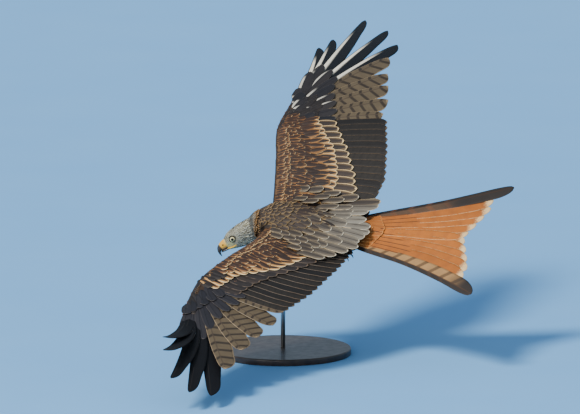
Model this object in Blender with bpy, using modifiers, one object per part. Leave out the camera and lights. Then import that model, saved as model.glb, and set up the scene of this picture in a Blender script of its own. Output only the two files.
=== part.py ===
"""Red kite in a banked glide, life size, held by a rod on a round base.

Lengths are millimetres and angles are degrees until solid() turns them into metres.
The bird is drawn in its own frame: +X to the head, +Y to its left wing, +Z out of its back,
with its origin in the middle of the chest. The empty named bird_pose banks it over the stand.
"""

import math

import bmesh
import bpy
import numpy as np
from mathutils import Euler

MM = 0.001
GAP = 0.3

# The pose over the floor
HEADING = 165.2
CLIMB = 3.15
BANK = 28.9
CHEST_HEIGHT = 290.0

# The stand
BASE_RADIUS = 150.0
BASE_THICKNESS = 14.0
BASE_BEVEL = 3.0
ROD_RADIUS = 5.0
SOCKET_DEPTH = 24.0
BASE_SIDES = 48
ROD_SIDES = 24

# The body's sections from the neck to the undertail: x, half width, top, bottom, shift to the left
BODY = (
    (60, 29, 24, -38, 8),
    (38, 42, 36, -50, 3),
    (8, 53, 43, -57, 0),
    (-28, 53, 42, -56, 0),
    (-64, 46, 37, -47, 0),
    (-100, 38, 28, -36, 0),
    (-134, 31, 15, -27, 0),
    (-166, 24, 2, -21, -2),
)
NECK_JOIN = 56.0
TAIL_JOIN = -128.0
BODY_SIDES = 20
TORSO_STEPS = 10
UNDERTAIL_STEPS = 4

# The head's own frame: +X to the bill, +Y to its left, +Z to the crown
HEAD_CENTRE = (103.0, 24.0, -29.0)
HEAD_YAW = 30.3
HEAD_DOWN = 14.9
HEAD_ROLL = 25.2
HEAD = (
    (-36, 25.2, 24.2, -30.0),
    (-24, 24.0, 23.8, -28.8),
    (-10, 22.0, 22.4, -27.2),
    (2, 19.6, 20.0, -25.4),
    (12, 16.4, 17.0, -23.4),
    (20, 12.8, 13.0, -21.6),
    (27, 9.4, 7.6, -20.0),
)
NECK_END = -34.0
HEAD_SIDES = 20
EYE = (9.5, 14.2, 2.6)
EYE_RADIUS = 7.4
# The lid's hoop: radius, thickness, which way it faces and how far it stands out of the eye's middle
LID_RADIUS = 6.9
LID_THICKNESS = 1.5
LID_FACING = (0.18, 1.0, 0.02)
LID_OUT = 3.7
# The cere, the upper mandible and the lower one: x, z of the middle, half width, height up, height
# down, and the lean of the section in degrees
CERE = (
    (27.3, -5.6, 8.6, 12.2, -8.2, 0),
    (31.5, -5.8, 7.6, 11.2, -8.4, 4),
    (36.0, -6.6, 6.7, 10.0, -7.9, 9),
    (40.5, -7.8, 6.0, 8.3, -7.2, 16),
)
UPPER_BILL = (
    (40.8, -7.9, 5.8, 7.9, -7.0, 16),
    (43.8, -9.3, 4.9, 6.6, -6.4, 27),
    (46.4, -12.0, 4.0, 4.7, -5.2, 45),
    (48.0, -15.8, 2.9, 3.0, -3.8, 66),
    (48.2, -20.0, 2.0, 2.0, -2.7, 84),
    (47.4, -24.2, 1.2, 1.1, -1.6, 97),
    (46.4, -27.8, 0.35, 0.35, -0.5, 104),
)
LOWER_BILL = (
    (27.3, -17.0, 6.8, 2.5, -2.7, 4),
    (33.0, -17.2, 6.2, 2.3, -2.6, 2),
    (38.0, -17.5, 5.2, 2.0, -2.4, 0),
    (41.6, -17.8, 3.4, 1.5, -2.0, -4),
    (43.2, -17.9, 1.2, 0.6, -0.9, -6),
)
NOSTRIL = (34.5, 6.6, -3.4)
NOSTRIL_RADIUS = 1.3
GAPE = ((7.9, 16.6, -13.6), (17.0, 13.6, -15.2), (27.0, 8.6, -14.6))
GAPE_RADII = (0.9, 1.7, 1.6)
# How the neck leaves the body's front ring, how far it runs straight into the head's rear, and the
# span below which both are shortened, on the inside of the bend
NECK_LEAD_OUT = (14.0, 0.0, 2.0)
NECK_LEAD_IN = 10.0
NECK_SPAN = 40.0

# The wings. Per side: the bend seen from ahead, as y and z along the wing
WINGS = {
    "left": {
        "sign": 1,
        "bend": ((0, 0), (42, 5), (150, 20), (262, 26), (400, 40), (560, 64), (718, 95), (900, 140)),
        "front": ((18, 34), (90, 46), (170, 88), (258, 124), (316, 128), (388, 124)),
        "rear": ((18, -58), (90, -42), (165, -18), (258, 66), (316, 92), (388, 108)),
        "hand": ((272, 80), (380, 114)),
        "ulna": ((264, 76), (150, -4), (60, -34)),
        "trailing": ((322, -97), (245, -134), (143, -165), (52, -181)),
        "primaries": (
            (334, -88, 0), (390, -81, 0), (445, -59, 0), (511, -43, 6), (615, -35, 16),
            (716, -31, 4), (755, 6, 28), (761, 44, 60), (711, 73, 100), (620, 99, 82),
        ),
    },
    "right": {
        "sign": -1,
        "bend": ((0, 0), (42, 5), (150, 38), (268, 62), (420, 56), (560, 26), (717, -20), (900, -85)),
        "front": ((18, 34), (90, 44), (170, 58), (258, 75), (316, 70), (392, 60)),
        "rear": ((18, -58), (90, -48), (165, -46), (262, 18), (320, 28), (392, 42)),
        "hand": ((282, 30), (386, 50)),
        "ulna": ((272, 26), (150, -28), (60, -38)),
        "trailing": ((322, -163), (249, -182), (164, -197), (70, -180)),
        "primaries": (
            (348, -147, 0), (401, -145, 0), (459, -130, 0), (517, -113, 0), (602, -93, 0),
            (681, -93, 0), (762, -49, 0), (817, 17, 0), (674, 54, 0), (620, 72, 0),
        ),
    },
}
WING_END = 392.0
WING_THICKNESS = ((18, 22), (80, 17), (160, 13), (262, 11), (320, 8), (WING_END, 4.5))
WASHOUT = ((0, 3), (150, 3), (260, 2), (420, 0), (900, 0))
SECONDARIES = 15
VANE_THICKNESS = 0.8
LOUVRE = 4.5
COVERT_TILT = 4.0
SHAFT_RIDGE = 0.6
# Rows over the roots of the secondaries: share of their length, height at root and tip, count, and
# how far ahead of the secondaries' roots they start
COVERT_ROWS = ((0.60, (5.0, 3.4), 12, 7.0), (0.38, (8.4, 5.8), 12, 14.0))
PRIMARY_COVERTS = 9
# Where along a feather its widths are given
FLIGHT_STATIONS = (0.0, 0.15, 0.45, 0.78, 0.94, 1.0)
SECONDARY_STATIONS = (0.0, 0.4, 0.78, 0.94, 1.0)
COVERT_STATIONS = (0.0, 0.3, 0.84, 1.0)

# The tail: root in the body frame, then each feather from the middle out, as how far its root
# stands aside, and how far back and aside its tip reaches
TAIL_ROOT = (-118.0, -16.0, -12.0)
TAIL_ROLL = -4.0
TAIL_PITCH = 5.0
TAIL_YAW = 2.4
RECTRICES = ((3, 300, 15), (9, 310, 43), (16, 320, 72), (23, 328, 99), (30, 326, 126), (37, 360, 173))
TAIL_LOUVRE = 5.0
# The coverts over the tail's base: count, root and tip of the middle one as back and aside, the step
# from each to the next outwards, and the height at root and tip with its step
TAIL_COVERTS = 4
COVERT_ROOT, COVERT_ROOT_STEP = (20.0, 3.0), (0.0, 7.5)
COVERT_TIP, COVERT_TIP_STEP = (100.0, 6.0), (-6.0, 13.0)
COVERT_RISE, COVERT_RISE_STEP = (9.0, 4.0), (-3.3, -2.0)

# The long feathers of the shoulder: x and y of the root, x and y of the tip, on the left side
SCAPULARS = (
    (0, 38, -88, 66), (-8, 30, -110, 54), (-20, 24, -132, 46), (-34, 20, -150, 38),
    (-50, 16, -166, 30), (-66, 12, -178, 22), (-80, 8, -184, 10), (-30, 34, -128, 62),
)
SCAPULAR_HEIGHT = 17.0
SCAPULAR_ARCH = 7.0
SCAPULAR_TILT = 3.0

# The left leg, drawn back under the tail: places along the thigh and radii there, the shank, and
# each toe's angle outwards in radians and its length
THIGH = ((-34, 22, -34), (-52, 22, -44), (-72, 20, -50), (-88, 18, -50))
THIGH_RADII = (17, 16, 11, 5.5)
BALL_OF_FOOT = (-120.0, 15.0, -44.0)
SHANK_RADII = (4.6, 4.2, 4.8)
TOES = ((-0.38, 26), (0.0, 31), (0.38, 26), (0.9, 18))
TOE_RADII = (3.6, 3.2, 2.5)
KNUCKLE_DROP, TOE_DROP = 2.5, 7.0
CLAW_RADII = (2.1, 1.5, 0.35)

COLOURS = {
    "grey": ((0.42, 0.42, 0.38), 0.8, 0.0),
    "mantle": ((0.16, 0.10, 0.06), 0.8, 0.0),
    "breast": ((0.36, 0.15, 0.06), 0.8, 0.0),
    "wing": ((0.07, 0.05, 0.04), 0.7, 0.0),
    "rufous": ((0.45, 0.17, 0.05), 0.7, 0.0),
    "cere": ((0.75, 0.45, 0.06), 0.45, 0.0),
    "horn": ((0.03, 0.03, 0.03), 0.3, 0.0),
    "eye": ((0.72, 0.66, 0.40), 0.1, 0.0),
    "leg": ((0.72, 0.45, 0.08), 0.5, 0.0),
    "stand": ((0.05, 0.05, 0.055), 0.45, 0.0),
    "steel": ((0.45, 0.45, 0.46), 0.35, 0.9),
}


def clear_scene():
    for obj in list(bpy.data.objects):
        bpy.data.objects.remove(obj)


def material(name):
    found = bpy.data.materials.get(name)
    if found:
        return found
    colour, roughness, metallic = COLOURS[name]
    made = bpy.data.materials.new(name)
    made.use_nodes = True
    shader = made.node_tree.nodes["Principled BSDF"]
    shader.inputs["Base Color"].default_value = (*colour, 1)
    shader.inputs["Roughness"].default_value = roughness
    shader.inputs["Metallic"].default_value = metallic
    return made


def rotation(yaw, down, roll):
    turn = Euler((math.radians(roll), math.radians(down), math.radians(yaw)), "XYZ")
    return np.array(turn.to_matrix())


def smooth_curve(points, at):
    """A cubic through points (x, y), with x rising, read at one or many x."""
    xs, ys = np.array(points, float).T
    slopes = np.gradient(ys, xs)
    at = np.clip(at, xs[0], xs[-1])
    i = np.clip(np.searchsorted(xs, at) - 1, 0, len(xs) - 2)
    step = xs[i + 1] - xs[i]
    u = (at - xs[i]) / step
    return (
        (2 * u**3 - 3 * u**2 + 1) * ys[i]
        + (u**3 - 2 * u**2 + u) * step * slopes[i]
        + (3 * u**2 - 2 * u**3) * ys[i + 1]
        + (u**3 - u**2) * step * slopes[i + 1]
    )


def unit(vector):
    return vector / np.linalg.norm(vector)


# Solids

def solid(name, points, faces, collection, colour=None):
    """A closed mesh object from points in millimetres, turned right side out."""
    mesh = bpy.data.meshes.new(name)
    mesh.from_pydata([tuple(p) for p in np.asarray(points) * MM], [], faces)
    work = bmesh.new()
    work.from_mesh(mesh)
    if work.calc_volume(signed=True) < 0:
        bmesh.ops.reverse_faces(work, faces=work.faces[:])
    bmesh.ops.triangulate(work, faces=[f for f in work.faces if len(f.verts) > 4])
    work.to_mesh(mesh)
    work.free()
    obj = bpy.data.objects.new(name, mesh)
    collection.objects.link(obj)
    if colour:
        mesh.materials.append(material(colour))
    return obj


def loft(rings, mirror_from=None):
    """Points and faces of a closed loft through rings of equal counts.

    From the side numbered mirror_from on, the quads split the other way, so that both faces
    of a thin vane have the same triangles.
    """
    count = len(rings[0])
    points = np.concatenate(rings)
    faces = []
    for r in range(len(rings) - 1):
        for j in range(count):
            k = (j + 1) % count
            a, b = r * count + j, r * count + k
            c, d = b + count, a + count
            if mirror_from is not None and j >= mirror_from:
                faces += [(a, b, d), (b, c, d)]
            else:
                faces += [(a, b, c), (a, c, d)]
    faces.append(tuple(reversed(range(count))))
    faces.append(tuple(range(len(points) - count, len(points))))
    return points, faces


def oval(centre, left, up, half_width, top, bottom, sides, power=1.0):
    """A ring with its own height above and below the centre."""
    ring = []
    for n in range(sides):
        angle = math.tau * n / sides
        across = math.copysign(abs(math.cos(angle)) ** power, math.cos(angle))
        along = math.copysign(abs(math.sin(angle)) ** power, math.sin(angle))
        height = top if along > 0 else -bottom
        ring.append(centre + left * (half_width * across) + up * (height * along))
    return np.array(ring)


def capsule_rings(path, radii, sides=8, first=None):
    """Rings of a round limb along a path, the first one facing first where that is given."""
    path = np.array(path, float)
    along = np.gradient(path, axis=0)
    if first is not None:
        along[0] = first
    rings = []
    side = unit(np.cross(along[0], (0.13, 0.31, 0.94)))
    for place, tangent, radius in zip(path, along, radii):
        tangent = unit(tangent)
        side = unit(side - tangent * (side @ tangent))
        up = np.cross(tangent, side)
        rings.append(oval(place, side, up, radius, radius, -radius, sides))
    return rings


def evaluated_mesh(obj):
    graph = bpy.context.evaluated_depsgraph_get()
    graph.update()
    return bpy.data.meshes.new_from_object(obj.evaluated_get(graph))


def apply_modifiers(obj):
    mesh = evaluated_mesh(obj)
    obj.modifiers.clear()
    obj.data = mesh


def keep_largest(obj):
    """Leaves the closed surface that fills the largest box, and drops scraps and sealed hollows."""
    work = bmesh.new()
    work.from_mesh(obj.data)
    groups, seen = [], set()
    for start in work.verts:
        if start in seen:
            continue
        group, queue = [], [start]
        seen.add(start)
        while queue:
            vert = queue.pop()
            group.append(vert)
            for edge in vert.link_edges:
                other = edge.other_vert(vert)
                if other not in seen:
                    seen.add(other)
                    queue.append(other)
        groups.append(group)

    def size(group):
        low = np.min([v.co[:] for v in group], axis=0)
        high = np.max([v.co[:] for v in group], axis=0)
        return float(np.prod(high - low + 1e-5))

    groups.sort(key=size, reverse=True)
    dropped = [v for group in groups[1:] for v in group]
    bmesh.ops.delete(work, geom=dropped, context="VERTS")
    work.to_mesh(obj.data)
    work.free()


def fuse(obj, pieces):
    """Joins closed pieces to obj with one union and removes them."""
    joined = bpy.data.collections.new(obj.name + "_pieces")
    for piece in pieces:
        for home in list(piece.users_collection):
            home.objects.unlink(piece)
        joined.objects.link(piece)
    bpy.context.scene.collection.children.link(joined)
    union = obj.modifiers.new("fuse", "BOOLEAN")
    union.operation = "UNION"
    union.operand_type = "COLLECTION"
    union.collection = joined
    union.solver = "EXACT"
    union.use_self = True
    apply_modifiers(obj)
    for piece in pieces:
        bpy.data.objects.remove(piece)
    bpy.data.collections.remove(joined)
    keep_largest(obj)


def cut(obj, cutter):
    trim = obj.modifiers.new("cut", "BOOLEAN")
    trim.operation = "DIFFERENCE"
    trim.object = cutter
    trim.solver = "EXACT"
    apply_modifiers(obj)
    keep_largest(obj)


# The body, from the neck to the undertail

LEFT = np.array((0.0, 1.0, 0.0))
UP = np.array((0.0, 0.0, 1.0))


def body_rings(start, end, grow=0.0, steps=1):
    table = sorted(BODY)
    rings = []
    for x in np.linspace(start, end, steps):
        half_width, top, bottom, shift = (
            float(smooth_curve([(row[0], row[i]) for row in table], x)) for i in (1, 2, 3, 4)
        )
        centre = np.array((x, shift, 0.0))
        rings.append(oval(centre, LEFT, UP, half_width + grow, top + grow, bottom - grow, BODY_SIDES))
    return rings


def body_top(x, y):
    """Height of the back's surface over a point of the body."""
    table = sorted(BODY)
    half_width = float(smooth_curve([(row[0], row[1]) for row in table], x))
    top = float(smooth_curve([(row[0], row[2]) for row in table], x))
    return top * math.sqrt(max(0.0, 1 - (y / half_width) ** 2))


# The head

HEAD_TURN = rotation(HEAD_YAW, HEAD_DOWN, HEAD_ROLL)


def head_point(place):
    return np.array(HEAD_CENTRE) + HEAD_TURN @ np.array(place, float)


def head_ring(x):
    half_width, top, bottom = (
        float(smooth_curve([(row[0], row[i]) for row in HEAD], x)) for i in (1, 2, 3)
    )
    ring = oval(np.array((x, 0.0, 0.0)), LEFT, UP, half_width, top, bottom, HEAD_SIDES, power=0.9)
    # The brow stands out over the eye, and the cheek below it falls in towards the bill.
    for point in ring:
        over_eye = math.exp(-(((x - EYE[0]) / 10) ** 2) - ((point[2] - 9.5) / 4.5) ** 2)
        at_eye = math.exp(-(((x - EYE[0] - 1) / 8) ** 2) - ((point[2] - 1.5) / 6) ** 2)
        lore = math.exp(-(((x - 22) / 6) ** 2) - ((point[2] + 1) / 6) ** 2)
        point[1] += math.copysign(1.6 * over_eye - 1.2 * at_eye - 1.4 * lore, point[1])
    return ring


def to_body(ring):
    return ring @ HEAD_TURN.T + np.array(HEAD_CENTRE)


def make_head(home):
    rings = [to_body(head_ring(x)) for x in np.linspace(NECK_END + GAP / 2, HEAD[-1][0], 11)]
    head = solid("head", *loft(rings), home, "grey")
    pieces = []
    for side in (1, -1):
        place = np.array(EYE) * (1, side, 1)
        # A ring of lid round the eye, and the fleshy line of the gape below it
        outward = unit(np.array(LID_FACING) * (1, side, 1))
        forward = unit(np.cross(outward, UP))
        up = np.cross(forward, outward)
        lid = oval(place + outward * LID_OUT, forward, up, LID_RADIUS, LID_RADIUS, -LID_RADIUS, 12)
        pieces.append(hoop("lid", to_body(lid), LID_THICKNESS, home))
        gape = [head_point(np.array(p) * (1, side, 1)) for p in GAPE]
        pieces.append(solid("gape", *loft(capsule_rings(gape, GAPE_RADII, 6)), home))
    fuse(head, pieces)
    for side in (1, -1):
        place = head_point(np.array(EYE) * (1, side, 1))
        socket = ball("socket", place, EYE_RADIUS + GAP, home, 16, 10)
        cut(head, socket)
        bpy.data.objects.remove(socket)


def hoop(name, path, radius, home, sides=6):
    """A closed tube along a ring of points."""
    centre = path.mean(axis=0)
    points, faces = [], []
    count = len(path)
    for i in range(count):
        tangent = unit(path[(i + 1) % count] - path[i - 1])
        side = unit(path[i] - centre)
        side = unit(side - tangent * (side @ tangent))
        up = np.cross(tangent, side)
        points.append(oval(path[i], side, up, radius, radius, -radius, sides))
    for i in range(count):
        for j in range(sides):
            k = (j + 1) % sides
            n = (i + 1) % count
            faces.append((i * sides + j, i * sides + k, n * sides + k, n * sides + j))
    return solid(name, np.concatenate(points), faces, home)


def ball(name, place, radius, home, segments=16, rings=10, colour=None):
    mesh = bpy.data.meshes.new(name)
    work = bmesh.new()
    bmesh.ops.create_uvsphere(work, u_segments=segments, v_segments=rings, radius=radius * MM)
    bmesh.ops.translate(work, verts=work.verts, vec=tuple(np.array(place) * MM))
    work.to_mesh(mesh)
    work.free()
    obj = bpy.data.objects.new(name, mesh)
    home.objects.link(obj)
    if colour:
        mesh.materials.append(material(colour))
    return obj


def bill_rings(table):
    rings = []
    for x, z, half_width, top, bottom, lean in table:
        tilt = math.radians(lean)
        up = np.array((math.sin(tilt), 0.0, math.cos(tilt)))
        centre = np.array((x, 0.0, z))
        rings.append(to_body(oval(centre, LEFT, up, half_width, top, bottom, 14)))
    return rings


def make_bill(home):
    cere = solid("cere", *loft(bill_rings(CERE)), home, "cere")
    for side in (1, -1):
        pit = ball("pit", head_point(np.array(NOSTRIL) * (1, side, 1)), NOSTRIL_RADIUS, home, 8, 6)
        cut(cere, pit)
        bpy.data.objects.remove(pit)
    solid("bill_upper", *loft(bill_rings(UPPER_BILL)), home, "horn")
    solid("bill_lower", *loft(bill_rings(LOWER_BILL)), home, "horn")


def make_neck(home):
    """A bent loft from the body's front ring to the head's rear ring."""
    start = body_rings(NECK_JOIN + GAP, NECK_JOIN + GAP, steps=1)[0]
    end = to_body(head_ring(NECK_END - GAP / 2))
    span = np.linalg.norm(end - start, axis=1)[:, None]
    share = np.minimum(span / NECK_SPAN, 1.0)
    lead_out = share * np.array(NECK_LEAD_OUT)
    lead_in = share * -HEAD_TURN[:, 0] * NECK_LEAD_IN
    rings = []
    for t in np.linspace(0, 1, 6):
        ring = (
            (1 - t) ** 3 * start
            + 3 * (1 - t) ** 2 * t * (start + lead_out)
            + 3 * (1 - t) * t**2 * (end + lead_in)
            + t**3 * end
        )
        rings.append(ring)
    solid("neck", *loft(rings), home, "grey")


# Vanes

def vane(name, frames, outer, inner, home, tilt=LOUVRE, ridge=0.0):
    """One feather as a thin closed plate.

    frames are (place, lead, normal) along the shaft: lead points to the leading side.
    outer and inner are the vane's widths there. The leading side is tilted up. A ridge above
    zero raises the shaft.
    """
    rings = []
    slope = math.radians(tilt)
    for (place, lead, normal), out, back in zip(frames, outer, inner):
        across = lead * math.cos(slope) + normal * math.sin(slope)
        over = normal * math.cos(slope) - lead * math.sin(slope)
        down = over * VANE_THICKNESS
        front, rear = place + across * out, place - across * back
        if ridge:
            shaft = place + over * ridge
            rings.append(np.array((front, shaft, rear, rear - down, place - down * 1.3, front - down)))
        else:
            rings.append(np.array((front, rear, rear - down, front - down)))
    return solid(name, *loft(rings, mirror_from=len(rings[0]) // 2), home)


class Wing:
    """A wing's chart: sigma runs out along the bent wing and x runs forward."""

    def __init__(self, side):
        spec = WINGS[side]
        self.side = side
        self.spec = spec
        self.sign = spec["sign"]
        self.ys = np.linspace(0, 900, 181)
        heights = smooth_curve(spec["bend"], self.ys)
        self.arc = np.concatenate([[0], np.cumsum(np.hypot(np.diff(self.ys), np.diff(heights)))])

    def surface(self, sigma, x):
        y = float(np.interp(sigma, self.arc, self.ys))
        z = float(smooth_curve(self.spec["bend"], y))
        wash = math.tan(math.radians(float(np.interp(sigma, *np.array(WASHOUT, float).T))))
        return np.array((x, self.sign * y, z + (x - 30) * wash))

    def normal(self, sigma, x):
        out = self.surface(sigma + 4, x) - self.surface(sigma - 4, x)
        fore = self.surface(sigma, x + 4) - self.surface(sigma, x - 4)
        return unit(np.cross(fore, out) * self.sign)

    def feather(self, name, root, tip, lift, outer, inner, stations, height, home, bow=0.0, **more):
        """A vane from root to tip, both (sigma, x), at height (root, tip) over the surface."""
        root, tip = np.array(root, float), np.array(tip, float)
        along = tip - root
        aside = np.array((-along[1], along[0])) / np.linalg.norm(along)

        def place(t):
            sigma, x = root + along * t + aside * bow * math.sin(math.pi * t)
            rise = height[0] + (height[1] - height[0]) * t + lift * t**1.5
            return self.surface(sigma, x) + self.normal(sigma, x) * rise, self.normal(sigma, x)

        frames = []
        for t in stations:
            here, normal = place(t)
            tangent = unit(place(t + 0.02)[0] - place(t - 0.02)[0])
            lead = unit(np.cross(tangent, normal)) * self.sign
            frames.append((here, lead, unit(np.cross(lead, tangent)) * self.sign))
        return vane(name, frames, outer, inner, home, **more)

    def core(self, home):
        """The arm and hand with their small feathers, as a loft of aerofoil sections."""
        rings = []
        for sigma in (18, 45, 75, 110, 150, 190, 230, 262, 295, 330, 365, WING_END):
            front = float(smooth_curve(self.spec["front"], sigma))
            rear = float(smooth_curve(self.spec["rear"], sigma))
            thick = float(np.interp(sigma, *np.array(WING_THICKNESS, float).T))
            ring = []
            for share, height in (
                (0.0, 0.0), (0.07, 0.62), (0.28, 1.0), (0.62, 0.78), (1.0, 0.22),
                (1.0, -0.2), (0.62, -0.62), (0.28, -0.85), (0.07, -0.55),
            ):
                x = front + (rear - front) * share
                ring.append(self.surface(sigma, x) + self.normal(sigma, x) * height * thick)
            rings.append(np.array(ring))
        return solid("wing_" + self.side, *loft(rings), home, "wing")


def line_at(points, t):
    """A point along a polyline, by share of its length."""
    points = np.array(points, float)
    steps = np.concatenate([[0], np.cumsum(np.linalg.norm(np.diff(points, axis=0), axis=1))])
    steps /= steps[-1]
    return np.array([np.interp(t, steps, points[:, i]) for i in range(points.shape[1])])


def make_wing(side, home, cutter):
    wing = Wing(side)
    spec = wing.spec
    obj = wing.core(home)
    pieces = []
    hand = spec["hand"]
    for i, (sigma, x, lift) in enumerate(spec["primaries"]):
        finger = min(1.0, max(0.0, (i - 3.5) / 3))
        outer = [3, 8, 11 - 2 * finger, 12 - 5 * finger, 9 - 4 * finger, 2]
        inner = [3, 17, 34 - 9 * finger, 34 - 17 * finger, 24 - 13 * finger, 5 - 3 * finger]
        pieces.append(wing.feather(
            f"primary_{i}", line_at(hand, i / 9), (sigma, x), lift, outer, inner, FLIGHT_STATIONS,
            (0.5 - 0.25 * i, 0.0), home, bow=4.0 - 10.0 * finger, ridge=SHAFT_RIDGE,
        ))
    for j in range(SECONDARIES):
        t = j / (SECONDARIES - 1)
        pieces.append(wing.feather(
            f"secondary_{j}", line_at(spec["ulna"], t), line_at(spec["trailing"], t), 0.0,
            [3, 12, 13, 11, 5], [3, 18, 20, 16, 5], SECONDARY_STATIONS, (0.8, 0.0), home, bow=3.0,
        ))
    for row, (share, height, count, start) in enumerate(COVERT_ROWS):
        for j in range(count):
            t = (j + 0.5 * row) / (count - 1 + 0.5 * row)
            root = line_at(spec["ulna"], t) + (0, start)
            tip = root + (line_at(spec["trailing"], t) - root) * share
            pieces.append(wing.feather(
                f"covert_{row}_{j}", root, tip, 0.0,
                [4, 12, 14, 5], [4, 14, 16, 5], COVERT_STATIONS, height, home, tilt=COVERT_TILT,
            ))
    for i in range(PRIMARY_COVERTS):
        root = line_at(hand, (i + 0.2) / 9) + (-4, 5)
        sigma, x, _ = spec["primaries"][i]
        tip = root + (np.array((sigma, x)) - root) * (0.46 - 0.014 * i)
        pieces.append(wing.feather(
            f"primary_covert_{i}", root, tip, 0.0,
            [3, 8, 9, 3], [3, 14, 15, 3], COVERT_STATIONS, (4.2, 3.0), home, tilt=COVERT_TILT,
        ))
    fuse(obj, pieces)
    cut(obj, cutter)


# The tail

def tail_axes():
    """Directions of the fan: back along its middle, to its left, and up out of it."""
    pitch, roll, yaw = (math.radians(a) for a in (TAIL_PITCH, TAIL_ROLL, TAIL_YAW))
    back = np.array((-math.cos(pitch), 0.0, math.sin(pitch)))
    left = np.array((0.0, math.cos(roll), math.sin(roll)))
    back, left = back * math.cos(yaw) + left * math.sin(yaw), left * math.cos(yaw) - back * math.sin(yaw)
    return back, left, unit(np.cross(left, back))


def make_tail(home):
    stump = body_rings(TAIL_JOIN - GAP, BODY[-1][0], steps=UNDERTAIL_STEPS)
    tail = solid("tail", *loft(stump), home, "rufous")
    pieces = []
    for side in (1, -1):
        for i, (aside, reach, spread) in enumerate(RECTRICES):
            last = i / 5
            pieces.append(tail_feather(
                f"rectrix_{side}_{i}", side, (22, aside), (reach, spread),
                (0.8 - 0.75 * i + 0.6 * (side > 0), -2.0 - 2.5 * last), -14.0 * last, FLIGHT_STATIONS,
                [3, 9, 13 - 4 * last, 16 - 6 * last, 14 - 3 * last, 6],
                [3, 12, 20, 26, 21, 7], SHAFT_RIDGE, home,
            ))
        for i in range(TAIL_COVERTS):
            root, tip, rise = (
                np.array(first) + np.array(step) * i
                for first, step in (
                    (COVERT_ROOT, COVERT_ROOT_STEP),
                    (COVERT_TIP, COVERT_TIP_STEP),
                    (COVERT_RISE, COVERT_RISE_STEP),
                )
            )
            pieces.append(tail_feather(
                f"tail_covert_{side}_{i}", side, root, tip, rise, 0.0, COVERT_STATIONS,
                [4, 11, 13, 4], [4, 12, 15, 4], 0.0, home,
            ))
    fuse(tail, pieces)


def tail_feather(name, side, root, tip, rise, bow, stations, outer, inner, ridge, home):
    """A vane of the fan: root and tip are (back, aside), and rise its height at each."""
    back, left, up = tail_axes()
    frames = []
    for t in stations:
        reach, aside = np.array(root, float) * (1 - t) + np.array(tip, float) * t
        aside += bow * math.sin(math.pi * t)
        height = rise[0] * (1 - t) + rise[1] * t
        frames.append(np.array(TAIL_ROOT) + back * reach + left * side * aside + up * height)
    along = unit(frames[-1] - frames[0])
    outward = unit(left * side - along * (left @ along) * side)
    return vane(
        name, [(place, -outward, up) for place in frames], inner, outer, home, TAIL_LOUVRE, ridge
    )


# The torso with its scapulars, and the legs

def make_torso(home):
    torso = solid("torso", *loft(body_rings(NECK_JOIN, TAIL_JOIN, steps=TORSO_STEPS)), home, "mantle")
    pieces = []
    for side in (1, -1):
        for x, y, reach, spread in SCAPULARS:
            pieces.append(scapular(side, x, y, reach, spread, home))
    fuse(torso, pieces)
    return torso


def scapular(side, x, y, reach, spread, home):
    """A long shoulder feather that lies back over the root of the wing."""
    start = np.array((x, side * y, body_top(x, y) - 3.0))
    end = np.array((reach, side * spread, SCAPULAR_HEIGHT + 0.06 * (reach + 185) - 0.05 * spread))
    frames = []
    along = unit(end - start)
    lead = unit(np.array((0.0, -float(side), 0.12)))
    lead = unit(lead - along * (lead @ along))
    normal = unit(np.cross(along, lead))
    normal = normal * math.copysign(1, normal[2])
    for t in COVERT_STATIONS:
        arch = normal * SCAPULAR_ARCH * math.sin(math.pi * t)
        frames.append((start + (end - start) * t + arch, lead, normal))
    return vane("scapular", frames, [4, 11, 13, 4], [4, 12, 14, 4], home, tilt=SCAPULAR_TILT)


def make_leg(side, name, home, body_cutter):
    mirror = np.array((1, side, 1))
    thigh_path = np.array(THIGH, float) * mirror
    thigh = solid(f"leg_{name}", *loft(capsule_rings(thigh_path, THIGH_RADII, 12)), home, "breast")
    cut(thigh, body_cutter)
    along = unit(thigh_path[-1] - thigh_path[-2])
    ankle = thigh_path[-1] + along * GAP
    ball_of_foot = np.array(BALL_OF_FOOT) * mirror
    shank_path = [ankle, (ankle + ball_of_foot) / 2, ball_of_foot]
    foot = solid(f"foot_{name}", *loft(capsule_rings(shank_path, SHANK_RADII, 8, along)), home, "leg")
    toes = []
    for n, (spread, length) in enumerate(TOES):
        along = unit(np.array((-math.cos(spread), math.sin(spread) * side, -0.05)))
        start = ball_of_foot + along
        knuckle = start + along * length * 0.55 - UP * KNUCKLE_DROP
        end = start + along * length - UP * TOE_DROP
        toes.append(solid("toe", *loft(capsule_rings([start, knuckle, end], TOE_RADII, 8)), home))
        along = unit(end - knuckle)
        root = end + along * GAP
        claw_path = [root, root + along * 5 - UP * 3.0, root + along * 7 - UP * 9.5]
        rings = capsule_rings(claw_path, CLAW_RADII, 6, along)
        solid(f"claw_{name}_{n + 1}", *loft(rings), home, "horn")
    fuse(foot, toes)


# The stand, in the floor's frame

def upright(name, radius, bottom, top, sides, home, colour=None):
    """A cylinder about the base's axis."""
    ring = oval(np.zeros(3), np.array((1.0, 0.0, 0.0)), LEFT, radius, radius, -radius, sides)
    return solid(name, *loft([ring + UP * bottom, ring + UP * top]), home, colour)


def make_stand(home, torso, pose):
    base = upright("stand_base", BASE_RADIUS, 0.0, BASE_THICKNESS, BASE_SIDES, home, "stand")
    edge = base.modifiers.new("edge", "BEVEL")
    edge.width = BASE_BEVEL * MM
    edge.segments = 1
    edge.limit_method = "ANGLE"
    apply_modifiers(base)
    # The rod ends in a socket of the belly, which stands over the base's middle.
    up = np.array(pose.matrix_world.to_3x3()).T @ UP
    top = CHEST_HEIGHT - belly_depth(up) + SOCKET_DEPTH
    bottom = BASE_THICKNESS + GAP
    upright("stand_rod", ROD_RADIUS, bottom, top, ROD_SIDES, home, "steel")
    socket = upright("rod_socket", ROD_RADIUS + GAP, bottom, top + GAP, ROD_SIDES, home)
    cut(torso, socket)
    bpy.data.objects.remove(socket)


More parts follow.
